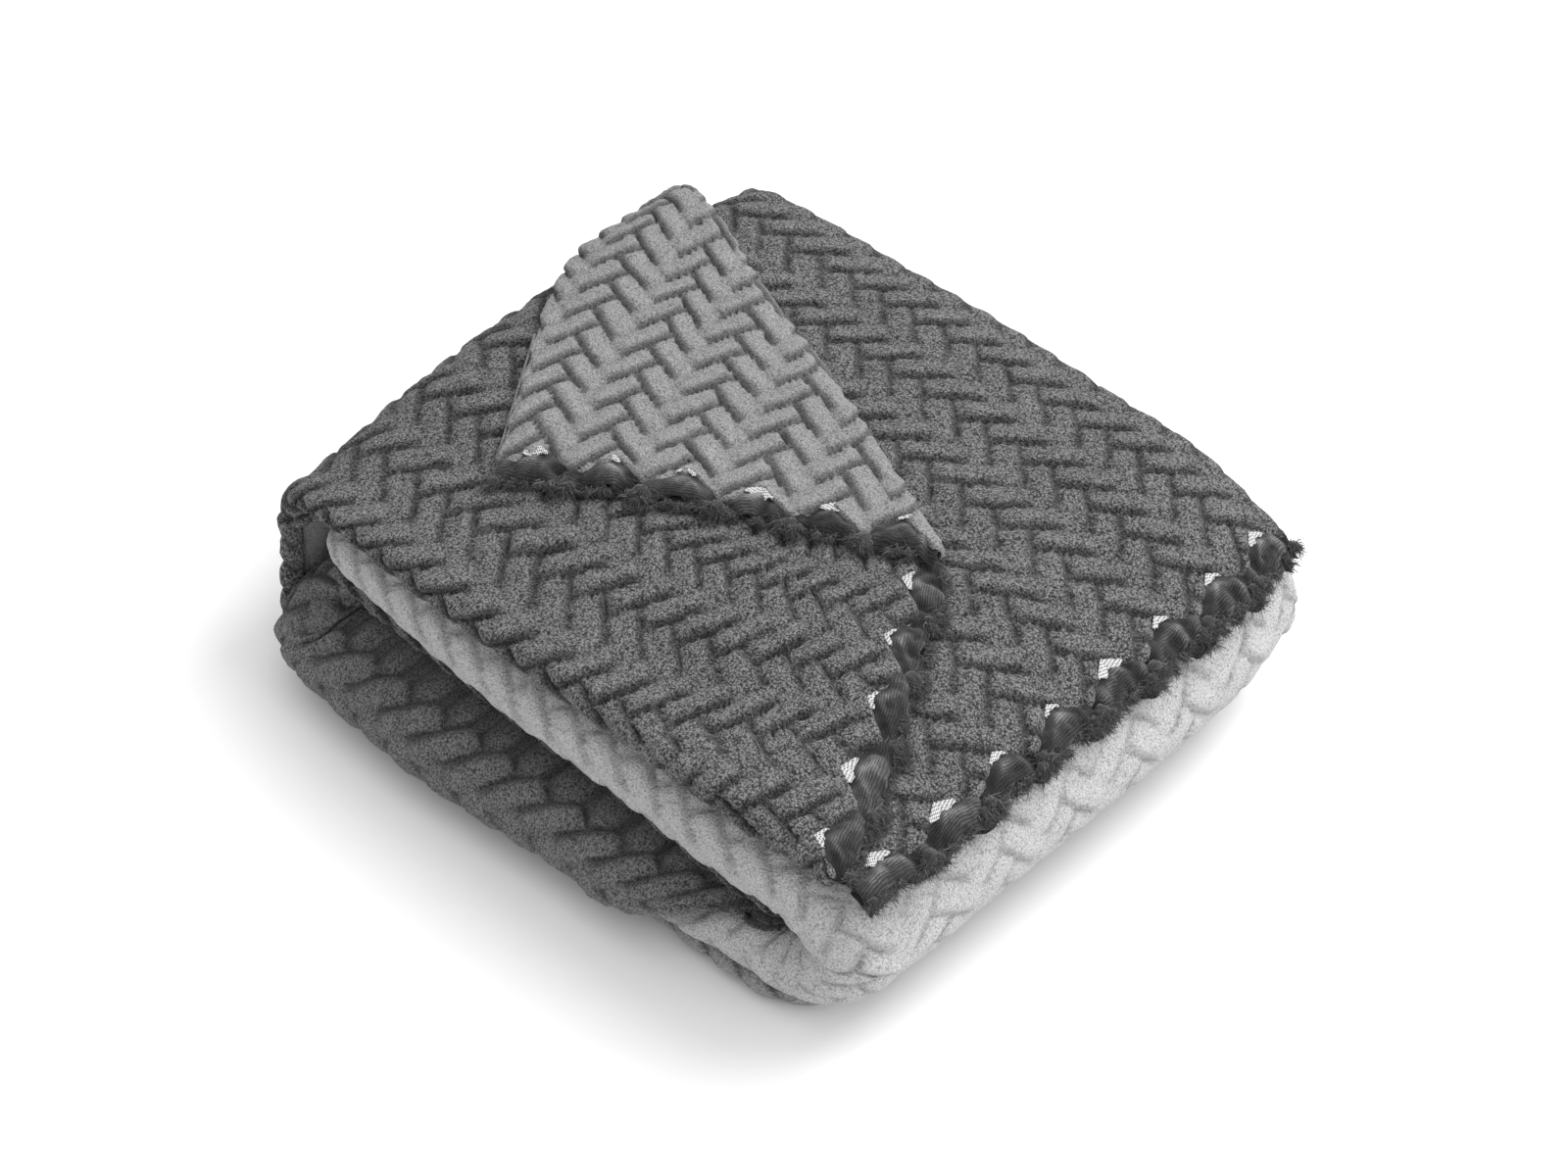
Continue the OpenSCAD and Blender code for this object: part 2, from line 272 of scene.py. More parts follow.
def shell(node, outer, inner, step, fill=0.0, **values):
    """A closed ply: a fine outer grid, a coarser inner one, and a rim of faces between them. The
    values are given for the outer grid, and the inner one gets the fill."""
    rows, cols = outer.shape[:2]
    r_pick = coarse_picks(rows, step)
    c_pick = coarse_picks(cols, step)
    inner = inner[np.ix_(r_pick, c_pick)]
    verts = np.concatenate([outer.reshape(-1, 3), inner.reshape(-1, 3)])
    first = rows * cols
    idx = np.arange(first).reshape(rows, cols)
    quads = np.stack([idx[:-1, :-1], idx[1:, :-1], idx[1:, 1:], idx[:-1, 1:]], axis=-1).reshape(-1, 4)
    faces = quads.tolist()
    back = first + np.arange(len(r_pick) * len(c_pick)).reshape(len(r_pick), len(c_pick))
    quads = np.stack([back[:-1, :-1], back[:-1, 1:], back[1:, 1:], back[1:, :-1]], axis=-1).reshape(-1, 4)
    faces += quads.tolist()
    for k in range(len(c_pick) - 1):
        a, b = c_pick[k], c_pick[k + 1]
        faces.append([int(v) for v in idx[0, a:b + 1]] + [int(back[0, k + 1]), int(back[0, k])])
        faces.append([int(v) for v in idx[-1, a:b + 1][::-1]] + [int(back[-1, k]), int(back[-1, k + 1])])
    for k in range(len(r_pick) - 1):
        a, b = r_pick[k], r_pick[k + 1]
        faces.append([int(v) for v in idx[a:b + 1, 0][::-1]] + [int(back[k, 0]), int(back[k + 1, 0])])
        faces.append([int(v) for v in idx[a:b + 1, -1]] + [int(back[k + 1, -1]), int(back[k, -1])])
    blank = np.full(back.size, fill)
    marks = {key: np.concatenate([numbers.ravel(), blank]) for key, numbers in values.items()}
    return mesh_object(node, verts, faces, **marks)


def ply(node, base, a, b, thick=PLY, brick=14.1, groove=4.6, depth=2.8, puff=0.0, step=4, edge=0.0, seed=3,
        lean=-1):
    """A ply of fleece on a base surface (a grid of points on its outer face). a, b are the cloth's
    own coordinates at each point, and edge how far each point drops at a rim. lean is the way that
    the bricks' creases face along b."""
    n = grid_normals(base)
    high, shade = herringbone(a, b * lean, brick, groove)
    brick_tone = noise(a, b, 3, 17, seed + 5)
    clump = noise(a, b, 0, 3.4, seed) + 0.6 * noise(a, b, 9, 2.1, seed + 1)
    lift = -depth * (1 - high) + (0.35 + puff) * clump * (0.4 + 0.6 * high) + 0.35 * brick_tone * high
    outer = base + n * (lift - edge)[..., None]
    inner = base - n * thick
    # painted shade in the bricks' creases, painted light on their high parts, and a little random tone from
    # the clumps
    pile = np.clip(0.06 + 0.80 * shade + 0.06 * high + 0.07 * clump, 0, 1)
    return shell(node, settle(outer), settle(inner), step, 0.5, pile=pile)


def rim_drop(s, r=4.2):
    """How far a rounded edge of radius r lies below the face, at a distance s from the edge."""
    t = np.clip(1 - np.asarray(s, float) / r, 0, 1)
    return r * (1 - np.sqrt(np.maximum(1 - t * t, 0)))


def plan_area(outline):
    """The area inside an outline in the XY plane."""
    x, y = np.asarray(outline).T
    return abs(np.sum(x * np.roll(y, -1) - y * np.roll(x, -1))) / 2


# ---------------------------------------------------------------- cut edges, seen from above

def outward(a, b):
    """The unit vector out of the cloth, square to its edge from a to b."""
    d = unit(b - a)
    return np.array([d[1], -d[0]])


def tooth_count(a, b):
    return int(round(np.linalg.norm(b - a) / TOOTH_PITCH))


def tooth_wave(t, count, seed):
    """0 on a tooth's tip and 1 in a notch, a little irregular, along an edge from t = 0 to 1."""
    s = np.asarray(t, float) * count
    wave = 1 - np.abs(2 * (s - np.floor(s)) - 1)
    wave = wave ** 1.15
    return np.clip(wave * (1 + 0.14 * noise(s, 0, 0, 0.8, seed)), 0, 1.2)


def toothed(a, b, t, seed, inset=0.0, depth=TOOTH_DEPTH):
    """Points along a toothed cut edge."""
    t = np.asarray(t, float)
    wave = tooth_wave(t, tooth_count(a, b), seed)
    drift = 1.2 * noise(t * 9, 2, 0, 1, seed + 1)
    return a + (b - a) * t[:, None] - outward(a, b) * (depth * wave + inset + drift)[:, None]


# ---------------------------------------------------------------- panels over the top

def over_top(x, y, depth, r0):
    """Points of a panel. x is measured along the cloth, and past TOP_BEND_X it rolls down the left."""
    past = np.maximum(TOP_BEND_X - x, 0)
    angle = np.minimum(past / r0, math.pi / 2)
    down = np.maximum(past - r0 * math.pi / 2, 0)
    r = TOP_BEND_R - depth
    px = np.where(past > 0, TOP_BEND_X - r * np.sin(angle), x)
    pz = np.where(past > 0, HINGE_Z + r * np.cos(angle) - down, WRAP_TOP - depth)
    return np.stack([px, y + 0 * px, pz], axis=-1)


def along_cloth(x, r0):
    """The distance along the cloth that lies above or beside a plan position x."""
    past = np.clip((TOP_BEND_X - x) / r0, 0, 1)
    return np.where(x < TOP_BEND_X, TOP_BEND_X - r0 * np.arcsin(past), x)


TAIL = np.array([8.0, 6.4, 4.9, 3.5, 2.3, 1.3, 0.5, 0.0])


def rolled_edge(reach, drop, turn=math.pi, n=14):
    """How cloth rolls over an edge: distances outward and down, from the underside to the face."""
    phi = np.linspace(turn, 0, n)[:-1]
    return reach * np.sin(phi), drop / 2 * (1 - np.cos(phi))


def flat_roll(y_low, out, down):
    """The cloth's own y on a rolled edge, which runs on in front of y_low."""
    arc = np.cumsum(np.hypot(np.diff(out, prepend=out[0]), np.diff(down, prepend=down[0])))
    return y_low - (arc[-1] - arc) - 0.8


def panel_base(depth, y_low, y_high, edge_x, edge_y, step, roll, start):
    """The outer face of a panel as a grid with rows along X and columns along Y."""
    r0 = TOP_BEND_R - depth
    ys = np.arange(y_low, y_high, step)
    drop = np.zeros_like(ys)
    flat_y = ys.copy()
    if roll is not None:
        out, down = rolled_edge(*roll)
        flat_y = np.concatenate([flat_roll(y_low, out, down), ys])
        ys = np.concatenate([y_low - out, ys])
        drop = np.concatenate([down, drop])
    limit = along_cloth(np.interp(ys, edge_y, edge_x), r0)
    n = int((np.max(limit) - start) / step)
    share = np.linspace(0, 1, n)[:, None]
    main = start + (limit[None, :] - TAIL[0] - start) * share
    x = np.concatenate([main, limit[None, :] - TAIL[1:, None]])
    y = np.broadcast_to(ys, x.shape)
    points = over_top(x, y, depth + drop[None, :], r0)
    return points, x, np.broadcast_to(flat_y, x.shape), limit[None, :] - x


def increasing(x, y):
    """An edge's x and y with y never falling, so that it can be looked up by y."""
    order = np.maximum.accumulate(y + np.arange(len(y)) * 1e-6)
    return x, order


def edge_line(a, b, seed, inset=0.0):
    """x and y of a closely spaced toothed edge."""
    points = toothed(a, b, np.linspace(0, 1, 900), seed, inset)
    return points[:, 0], points[:, 1]


def top_edge(inset=0.0):
    """The top panel's right edge: the toothed cut, then the diagonal fold of the corner."""
    x, y = edge_line(FRONT_CORNER, FOLD_FRONT, 31, inset)
    end = FOLD_BACK + (FOLD_BACK - FOLD_FRONT) * 0.03
    shift = FOLD_LEFT * inset
    x = np.concatenate([x, [FOLD_FRONT[0] + shift[0], end[0] + shift[0]]])
    y = np.concatenate([y, [FOLD_FRONT[1] + 1 + shift[1], end[1] + shift[1]]])
    return increasing(x, y)


SKEW = 0.564


def top_cloth(x, y):
    """Cloth coordinates of the top panel: its columns turn towards +Y near the askew cut edge."""
    u = np.clip((x + 60) / 200, 0, 1)
    turned = SKEW * (200 * (u ** 3 - u ** 4 / 2) + np.maximum(x - 140, 0))
    return y - turned, x + SKEW * smooth(x, -60, 140) * (y - FRONT_CORNER[1])


SLOT_OF = {
    "dark_ply": "dark_fleece",
    "light_ply": "light_fleece",
    "edge_knit": "knit_ground",
    "edge_lining": "lining_mesh",
    "edge_tufts": "pile_tufts",
    "side_seam": "seam_thread",
}
pieces = {}


def slot_of(node):
    """The material slot of a CAD node, which its name's ending tells."""
    return next(slot for ending, slot in SLOT_OF.items() if node.endswith(ending))


def keep(obj, node, body, flat=None, rests_on=(), held="folded", area=None, blend=None):
    """Puts a piece in place of its CAD node and hangs it on its body, or bakes its place into its mesh where
    blend is given. flat and area are in millimetres, and are not used.
    """
    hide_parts(node)
    if blend is None:
        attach(obj, body)
    else:
        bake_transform(obj)
    pieces[node] = obj


def panel(node, body, depth, y_low, y_high, edge, cloth, roll, seed, fine, brick, relief, groove=4.6, step=4,
          hem=0.0, face_down=False, **facts):
    """A ply of one of the panels over the top. hem is how far it runs on down the left side."""
    start = TOP_BEND_X - (TOP_BEND_R - depth) * math.pi / 2 - hem
    base, x, flat_y, s = panel_base(depth, y_low, y_high, *edge, fine, roll, start)
    a, b = cloth(x, flat_y)
    drop = rim_drop(s * 0.8) + rim_drop(y_high - base[..., 1], 3.5)
    if face_down:
        base, a, b, drop = base[::-1], a[::-1], b[::-1], 0.4 * drop[::-1]
    obj = ply(node, base, a, b, brick=brick, groove=groove, depth=relief, edge=drop, seed=seed, step=step)
    keep(obj, node, body, **facts)


# ---------------------------------------------------------------- folded strips below

def ellipse_end(s, r):
    """The height of a rounded end of length r, as a share, at a distance s from its tip."""
    return np.sqrt(np.maximum(1 - (1 - np.clip(s / r, 0, 1)) ** 2, 0.0016))


def strip_base(outer, inner, y_front, y_back, bulge, inset, ends, fine, back, arc_n):
    """A strip folded over along its -Y side: a grid of points on its outer face. y_front is a number
    or one for each row. Rows follow the path, and columns go from the inner face round the crease
    to the outer face."""
    rows = len(outer)
    mid = (outer + inner) / 2
    half = (outer - inner) / 2
    size = np.linalg.norm(half, axis=1, keepdims=True)
    half = half * np.maximum(1 - inset / size, 0.06)
    run = run_along(mid)
    close = ellipse_end(run - inset, ends[0]) * ellipse_end(run[-1] - run - inset, ends[1])
    half = half * close[:, None]
    depth = (np.maximum(bulge - inset, 2.0) * (0.35 + 0.65 * close))[:, None]
    centre = np.broadcast_to(y_front + bulge, (rows,))[:, None]
    inward = np.linspace(1, 0, 16)[None, :]
    turn = np.linspace(math.pi, 0, arc_n)[None, :]
    if back is None:
        back = np.arange(fine, y_back - float(centre.min()), fine)
    share = (back / back[-1])[None, :]
    y = np.concatenate([
        centre + 1 + (y_back - 4 - centre) * inward,
        centre - depth * np.sin(turn),
        centre + (y_back - centre) * share,
    ], axis=1)
    side = np.concatenate([-np.ones(inward.shape), np.cos(turn), np.ones(share.shape)], axis=1)
    flat = mid[:, None, :] + half[:, None, :] * side[..., None]
    p = np.stack([flat[..., 0], y, flat[..., 1]], axis=-1)
    b = np.broadcast_to(run_along(outer)[:, None], p.shape[:2])
    across = run_along(p[rows // 6])
    a = np.broadcast_to(across - across[16 + arc_n // 2], p.shape[:2])
    return p, a, b


def line(a, b, step):
    """Points from a towards b, about a step apart."""
    n = max(int(np.linalg.norm(np.subtract(b, a)) / step), 2)
    return np.linspace(a, b, n, endpoint=False)


def circle(centre, r, a0, a1, n):
    """n points of an arc from a0 degrees towards a1."""
    angle = np.radians(np.linspace(a0, a1, n, endpoint=False))
    return np.stack([centre[0] + r * np.cos(angle), centre[1] + r * np.sin(angle)], axis=1)


def paired(sections):
    """Joins (outer, inner) sections that have equal numbers of points."""
    outer = np.concatenate([np.asarray(o, float) for o, i in sections])
    inner = np.concatenate([np.asarray(i, float) for o, i in sections])
    return outer, inner


def resample(start, end, n, last=False):
    """n points from start to end, which is one of them only if last is set."""
    return np.linspace(start, end, n, endpoint=last)


def wedge_top(x):
    """Height of the light lower arm, which thins out to a wedge under the dark inner fold."""
    return END_BOTTOM + (LOWER_ARM_TOP - END_BOTTOM) * smooth(x, WEDGE_X - 6, WEDGE_X + WEDGE_LENGTH + 10)


def end_fold_path(step):
    """The (outer, inner) lines of the light end fold, from its upper arm's tip round to the lower."""
    left = TOP_BEND_X - TIP_R
    upper = resample((left, END_TOP), (END_C[0], END_TOP), int(340 / step))
    upper_in = resample((left, UPPER_ARM_BOTTOM), (ARM_C[0], UPPER_ARM_BOTTOM), len(upper))
    n = int(math.pi * END_R / step)
    lower = resample((END_C[0], END_BOTTOM), (WEDGE_X, END_BOTTOM), int(100 / step), True)
    x = np.linspace(ARM_C[0], WEDGE_X + 4, len(lower))
    return paired([
        (upper, upper_in),
        (circle(END_C, END_R, 90, -90, n), circle(ARM_C, ARM_R, 90, -90, n)),
        (lower, np.stack([x, wedge_top(x)], axis=1)),
    ])


def inner_fold_path(step):
    """The (outer, inner) lines of the dark inner fold, from its lower arm's end round to the upper."""
    right = ARM_C[0] + 9
    x = np.linspace(right, INNER_C[0], int(314 / step), endpoint=False)
    lower = np.stack([x, wedge_top(x) + 0.4], axis=1)
    n = int(math.pi * INNER_R / step)
    upper = resample((INNER_C[0], INNER_TOP), (right, INNER_TOP), int(315 / step), True)
    return paired([
        (lower, resample((right, SLIT_LOW), (SLIT_C[0], SLIT_LOW), len(lower))),
        (circle(INNER_C, INNER_R, 270, 90, n), circle(SLIT_C, (SLIT_HIGH - SLIT_LOW) / 2, 270, 90, n)),
        (upper, resample((SLIT_C[0], SLIT_HIGH), (right, SLIT_HIGH), len(upper), True)),
    ])


def inner_front(path):
    """How far out each row of the inner fold stands: the lower arm most, except at its right end."""
    mid = (path[0] + path[1]) / 2
    lower = 1 - smooth(mid[:, 1], 40, 66)
    return FRONT + 8 - (SPLAY + 8) * lower * (1 - 0.85 * smooth(mid[:, 0], 50, 150))


def strip(node, path, y_front, y_back, bulge, inset=0.0, fine=2.2, ends=(16, 16), back=None, arc_n=30,
          rests_on=(), **look):
    """A ply of a folded strip."""
    base, a, b = strip_base(*path, y_front, y_back, bulge, inset, ends, fine, back, arc_n)
    obj = ply(node, base, a, b, edge=rim_drop(y_back - base[..., 1], 4.0), **look)
    keep(obj, node, "stack", (float(np.ptp(a)), float(np.ptp(b))), rests_on)


def lower_arm(step, right):
    """The lower arm of the inner fold only, as (outer, inner) lines."""
    x = np.linspace(right, INNER_C[0] - 18, int((right - INNER_C[0] + 18) / step))
    outer = np.stack([x, wedge_top(x) + 0.4 + 1.5 * smooth(-x, 150, 185)], axis=1)
    return outer, np.stack([x, np.full(len(x), SLIT_LOW)], axis=1)


def wrap_base(path, depth_n, y_low, y_high, fine, roll=None, closing=0.0):
    """A single sheet along a path in XZ, rolled over its -Y edge; depth_n is the inward normal.
    Over the first `closing` millimetres of the path the roll narrows, the sheet is tucked inward
    and its corner is rounded off in plan."""
    run = run_along(path)
    ys = np.arange(y_low, y_high, fine)
    out = np.zeros_like(ys)
    drop = np.zeros_like(ys)
    flat_y = ys
    if roll is not None:
        over, down = rolled_edge(*roll)
        flat_y = np.concatenate([flat_roll(y_low, over, down), ys])
        ys = np.concatenate([np.full_like(over, y_low), ys])
        out = np.concatenate([over, out])
        drop = np.concatenate([down, drop])
    full = np.ones_like(run)
    tuck = np.zeros_like(run)
    back = np.zeros_like(run)
    if closing:
        full = 0.15 + 0.85 * smooth(run, 0, closing)
        tuck = 8.0 * (1 - smooth(run, 0, closing * 0.6))
        short = np.clip(1 - run / (closing * 1.3), 0, 1)
        back = 27.0 * (1 - np.sqrt(1 - short ** 2))
    depth = drop[None, :] * full[:, None] + tuck[:, None]
    p = path[:, None, :] + depth_n[:, None, :] * depth[..., None]
    y = ys[None, :] - out[None, :] * full[:, None]
    y = y + back[:, None] * (1 - smooth(ys[None, :], y_low + 10, y_low + 90))
    base = np.stack([p[..., 0], y, p[..., 1]], axis=-1)
    return base, np.broadcast_to(flat_y, y.shape), np.broadcast_to(run[:, None], y.shape)


def inward_normals(path):
    """Unit normals in XZ, to the right of the path's direction."""
    t = np.gradient(path, axis=0)
    t = t / np.linalg.norm(t, axis=1, keepdims=True)
    return np.stack([t[:, 1], -t[:, 0]], axis=1)


def wrap_ply(node, path, depth_n, y_low, y_high, fine, width, rests_on, way=1, roll=None, closing=0.0,
             **look):
    """A ply of a single sheet round the stack. width, its flat width, is not used, and way is -1 where
    its relief is turned about."""
    base, flat_y, run = wrap_base(path, depth_n, y_low, y_high, fine, roll, closing)
    edge = rim_drop(y_high - base[..., 1], 3.5) if roll else 0.0
    if closing:
        edge = rim_drop(run, 4.2) + edge
    obj = ply(node, base, flat_y, way * run, edge=edge, **look)
    keep(obj, node, "stack", (width, float(run.max())), rests_on)


# ---------------------------------------------------------------- cut edges: knit, mesh and tufts

def edge_knit(node, body, a, b, depth, seed):
    """The bare ribbed knit that stands out past the pile: arched between teeth, pinched at them."""
    reach = 9.5
    under = 3.5
    rib_pitch = 1.9
    length = np.linalg.norm(b - a)
    t = np.linspace(0.004, 0.996, int(length / 1.5))
    out = outward(a, b)
    wave = np.clip(tooth_wave(t, tooth_count(a, b), seed), 0, 1)
    rim = reach * (1.0 - 0.42 * wave ** 0.8) + 2.1 * noise(t * length, 1, 0, 7, seed)
    s = np.linspace(1, 0, 17)[None, :]
    inner = -(TOOTH_DEPTH * wave + under)
    along = inner[:, None] + (rim - inner)[:, None] * s
    centre = a + (b - a) * t[:, None]
    xy = centre[:, None, :] + out * along[..., None]
    arch = 1.7 * np.sin(np.pi * np.clip(s, 0, 1) ** 1.2) * wave[:, None] ** 0.6
    arch = arch + 1.5 * hump(along - inner[:, None], 9.0, 2.4) * wave[:, None]
    fall = 4.6 * smooth(along, 1, reach) + 2.2 * (1 - wave[:, None]) ** 2 * smooth(along, -3, 4)
    crease = 2.6 * noise(t[:, None] * length, along * 0.45, 0, 6.0, seed + 2)
    crease = crease + 1.2 * noise(t[:, None] * length, along, 4, 3.0, seed + 7)
    level = depth + 3.6 - arch + fall - crease * smooth(along, -9, -1)
    base = over_top(xy[..., 0], xy[..., 1], level, TOP_BEND_R - depth)
    n = grid_normals(base)
    rib = along + 1.6 * noise(t[:, None] * length, along, 0, 16, seed + 3)
    base = base + n * (0.07 * np.sin(rib * 2 * math.pi / rib_pitch))[..., None]
    # painted highlight: a pale streak along each arch, lighter across the middle of the knit and on its
    # raised creases
    streak = hump(along - inner[:, None], 9.5 + 1.5 * noise(t[:, None] * length, 3, 0, 8, seed), 2.2)
    painted_highlight = (0.25 * np.sin(np.pi * np.clip(s, 0, 1)) + 0.6 * streak) * wave[:, None] + 0.2 * crease
    obj = shell(node, settle(base), settle(base - n * 0.7), 3, rib=rib, arch=painted_highlight)
    keep(obj, node, body, (length, reach + TOOTH_DEPTH + under), (), "laid",
         area=length * float(np.mean(rim - inner)))


def edge_lining(node, body, a, b, depth, seed):
    """Ragged patches of pale net in the notches, between the pile and the bare knit."""
    length = np.linalg.norm(b - a)
    count = tooth_count(a, b)
    out = outward(a, b)
    verts, faces, mark = [], [], []
    n_t, n_s = 24, 7
    for k in range(count):
        size = 1.2 + 8.0 * float(lattice(k, 3, 1, seed)) ** 1.6
        lean = 0.38 + 0.24 * float(lattice(k, 5, 2, seed))
        first_t = 0.5 - (0.10 + 0.014 * size)
        u = np.linspace(0, 1, n_t)
        t = (k + first_t + (1 - 2 * first_t) * u) / count
        broad = size * np.minimum(u / lean, (1 - u) / (1 - lean))
        broad = np.maximum(broad + 0.9 * noise(t * length, k, 0, 1.6, seed + 6), 0.35)
        notch = toothed(a, b, t, seed)
        for side in (0, 1):
            s = np.linspace(-0.35, 1, n_s)[None, :]
            reach = np.where(s < 0, s * 4.5, s * broad[:, None])
            xy = notch[:, None, :] + out * reach[..., None]
            rise = 0.45 * noise(t[:, None] * length, s, 0, 0.9, seed + 4)
            level = depth + 0.9 + side * 0.5 + 0.18 * np.maximum(reach, 0) - rise
            p = over_top(xy[..., 0], xy[..., 1], level, TOP_BEND_R - depth)
            first = sum(len(v) for v in verts)
            idx = first + np.arange(n_t * n_s).reshape(n_t, n_s)
            quads = np.stack([idx[:-1, :-1], idx[:-1, 1:], idx[1:, 1:], idx[1:, :-1]], axis=-1)
            if side:
                quads = quads[..., ::-1]
            faces += quads.reshape(-1, 4).tolist()
            ring = np.concatenate([idx[:, 0], idx[-1, 1:], idx[-2::-1, -1], idx[0, -2:0:-1]])
            verts.append(p.reshape(-1, 3))
            net_u = np.broadcast_to(t[:, None] * length, reach.shape)
            mark.append(np.stack([net_u, reach], axis=-1).reshape(-1, 2))
            if side:
                top = ring - n_t * n_s
                m = len(ring)
                faces += [[int(top[i]), int(top[(i + 1) % m]), int(ring[(i + 1) % m]), int(ring[i])]
                          for i in range(m)]
    mark = np.concatenate(mark)
    obj = mesh_object(node, settle(np.concatenate(verts)), faces, net_u=mark[:, 0], net_v=mark[:, 1])
    fix_normals(obj)
    keep(obj, node, body)


def fix_normals(obj):
    """Turns a closed mesh's faces outward."""
    bm = bmesh.new()
    bm.from_mesh(obj.data)
    bmesh.ops.recalc_face_normals(bm, faces=bm.faces)
    bm.to_mesh(obj.data)
    bm.free()


def strands(roots, aims, lengths, widths, seed):
    """Tapered curved fibres as three-sided tubes: vertices and faces."""
    n = len(roots)
    rng = np.random.default_rng(seed)
    aims = aims / np.linalg.norm(aims, axis=1, keepdims=True)
    helper = rng.normal(size=(n, 3))
    side = np.cross(aims, helper)
    side /= np.linalg.norm(side, axis=1, keepdims=True)
    other = np.cross(aims, side)
    bow = rng.uniform(-0.35, 0.35, n)
    curl = rng.uniform(-0.3, 0.3, n)
    verts = np.zeros((n, 5, 3, 3))
    for k, t in enumerate((0, 0.28, 0.55, 0.8, 1.0)):
        mid = roots + aims * (lengths * t)[:, None] + side * (lengths * bow * t * t)[:, None]
        mid = mid + other * (lengths * curl * math.sin(2.4 * t) * t)[:, None]
        r = widths * (1 - 0.85 * t)
        for c in range(3):
            ang = c * 2 * math.pi / 3
            verts[:, k, c] = mid + side * (r * math.cos(ang))[:, None] + other * (r * math.sin(ang))[:, None]
    idx = np.arange(n * 15).reshape(n, 5, 3)
    faces = []
    for c in range(3):
        d = (c + 1) % 3
        quad = np.stack([idx[:, :-1, c], idx[:, :-1, d], idx[:, 1:, d], idx[:, 1:, c]], axis=-1)
        faces += quad.reshape(-1, 4).tolist()
    faces += idx[:, 0, ::-1].tolist() + idx[:, 4, :].tolist()
    return verts.reshape(-1, 3), faces


def tube_faces(rows, cols):
    """The faces of a tube of rings, and the vertex numbers of the rings."""
    idx = np.arange(rows * cols).reshape(rows, cols)
    nxt = np.roll(idx, -1, axis=1)
    return np.stack([idx[:-1], idx[1:], nxt[1:], nxt[:-1]], axis=-1).reshape(-1, 4).tolist(), idx


def lump(centre, radii, seed):
    """A ragged ball of matted pile."""
    rows, cols = 9, 14
    th = np.linspace(0.12, math.pi - 0.12, rows)[:, None]
    ph = np.linspace(0, 2 * math.pi, cols, endpoint=False)[None, :]
    d = np.stack([np.sin(th) * np.cos(ph), np.sin(th) * np.sin(ph), np.cos(th) + 0 * ph], axis=-1)
    r = 1 + 0.32 * noise(d[..., 0] * 2, d[..., 1] * 2, d[..., 2] * 2, 0.8, seed)
    p = centre + d * radii * r[..., None]
    faces, rings = tube_faces(rows, cols)
    return p.reshape(-1, 3), faces + [rings[0].tolist(), rings[-1, ::-1].tolist()]


def edge_tufts(node, body, a, b, depth, seed, fibres, last):
    """Matted pile and loose fibres: a clump by each tooth, and smaller ones along the rim. fibres is
    how many a clump has, and last how far along the edge the clumps may stand."""
    rng = np.random.default_rng(seed)
    length = np.linalg.norm(b - a)
    count = tooth_count(a, b)
    out = outward(a, b)
    dirn = (b - a) / length
    places = []
    for i in range(count + 1):
        places.append((i / count + 0.003, 4.6, 1.0))
        places.append(((i + rng.uniform(-0.13, -0.05)) / count, 6.5, 0.75))
        places.append(((i + rng.uniform(0.05, 0.13)) / count, 7.5, 0.75))
        for f in (0.32, 0.5, 0.68):
            places.append(((i + f + rng.uniform(-0.08, 0.08)) / count, 5.6 + rng.uniform(-1, 1), 0.3))
    verts, faces, tone = [], [], []
    total = 0
    for t, s, big in places:
        if not 0.004 < t < last:
            continue
        xy = a + (b - a) * t + out * s
        level = depth + 5.2 + (1 - big) * 2.4
        top = over_top(np.array(xy[0]), np.array(xy[1]), level, TOP_BEND_R - depth).reshape(3)
        centre = top + np.array([rng.uniform(-1, 1), rng.uniform(-1, 1), rng.uniform(-0.6, 0.9)])
        if big > 0.5:
            size = np.array([3.9, 3.9, 2.8]) * big * rng.uniform(0.85, 1.15)
            v, f = lump(centre, size, int(rng.integers(1, 999)))
            verts.append(v)
            faces += [[q + total for q in face] for face in f]
            tone.append(np.full(len(v), rng.uniform(0.05, 0.3)))
            total += len(v)
        n = int(fibres * (0.6 + 2.0 * big))
        aim = np.stack([np.full(n, out[0]), np.full(n, out[1]), np.zeros(n)], axis=1)
        aim = aim + rng.normal(scale=(0.7, 0.7, 0.5), size=(n, 3)) + np.array([0, 0, -0.25])
        aim = aim + np.outer(rng.normal(scale=0.9, size=n), [dirn[0], dirn[1], 0])
        spread = np.array([3.4, 3.4, 1.8]) * (0.4 + 0.6 * big)
        root = centre + rng.normal(scale=0.6, size=(n, 3)) * spread
        v, f = strands(root, aim, rng.uniform(3.4, 8.6, n) * (0.55 + 0.45 * big),
                       rng.uniform(0.2, 0.42, n), int(rng.integers(1, 9999)))
        verts.append(v)
        faces += [[q + total for q in face] for face in f]
        tone.append(np.repeat(rng.uniform(0, 1, n) ** 2.4, 15))
        total += len(v)
    obj = mesh_object(node, settle(np.concatenate(verts)), faces, pile=np.concatenate(tone))
    keep(obj, node, body)


SEAM_STEP = 0.55


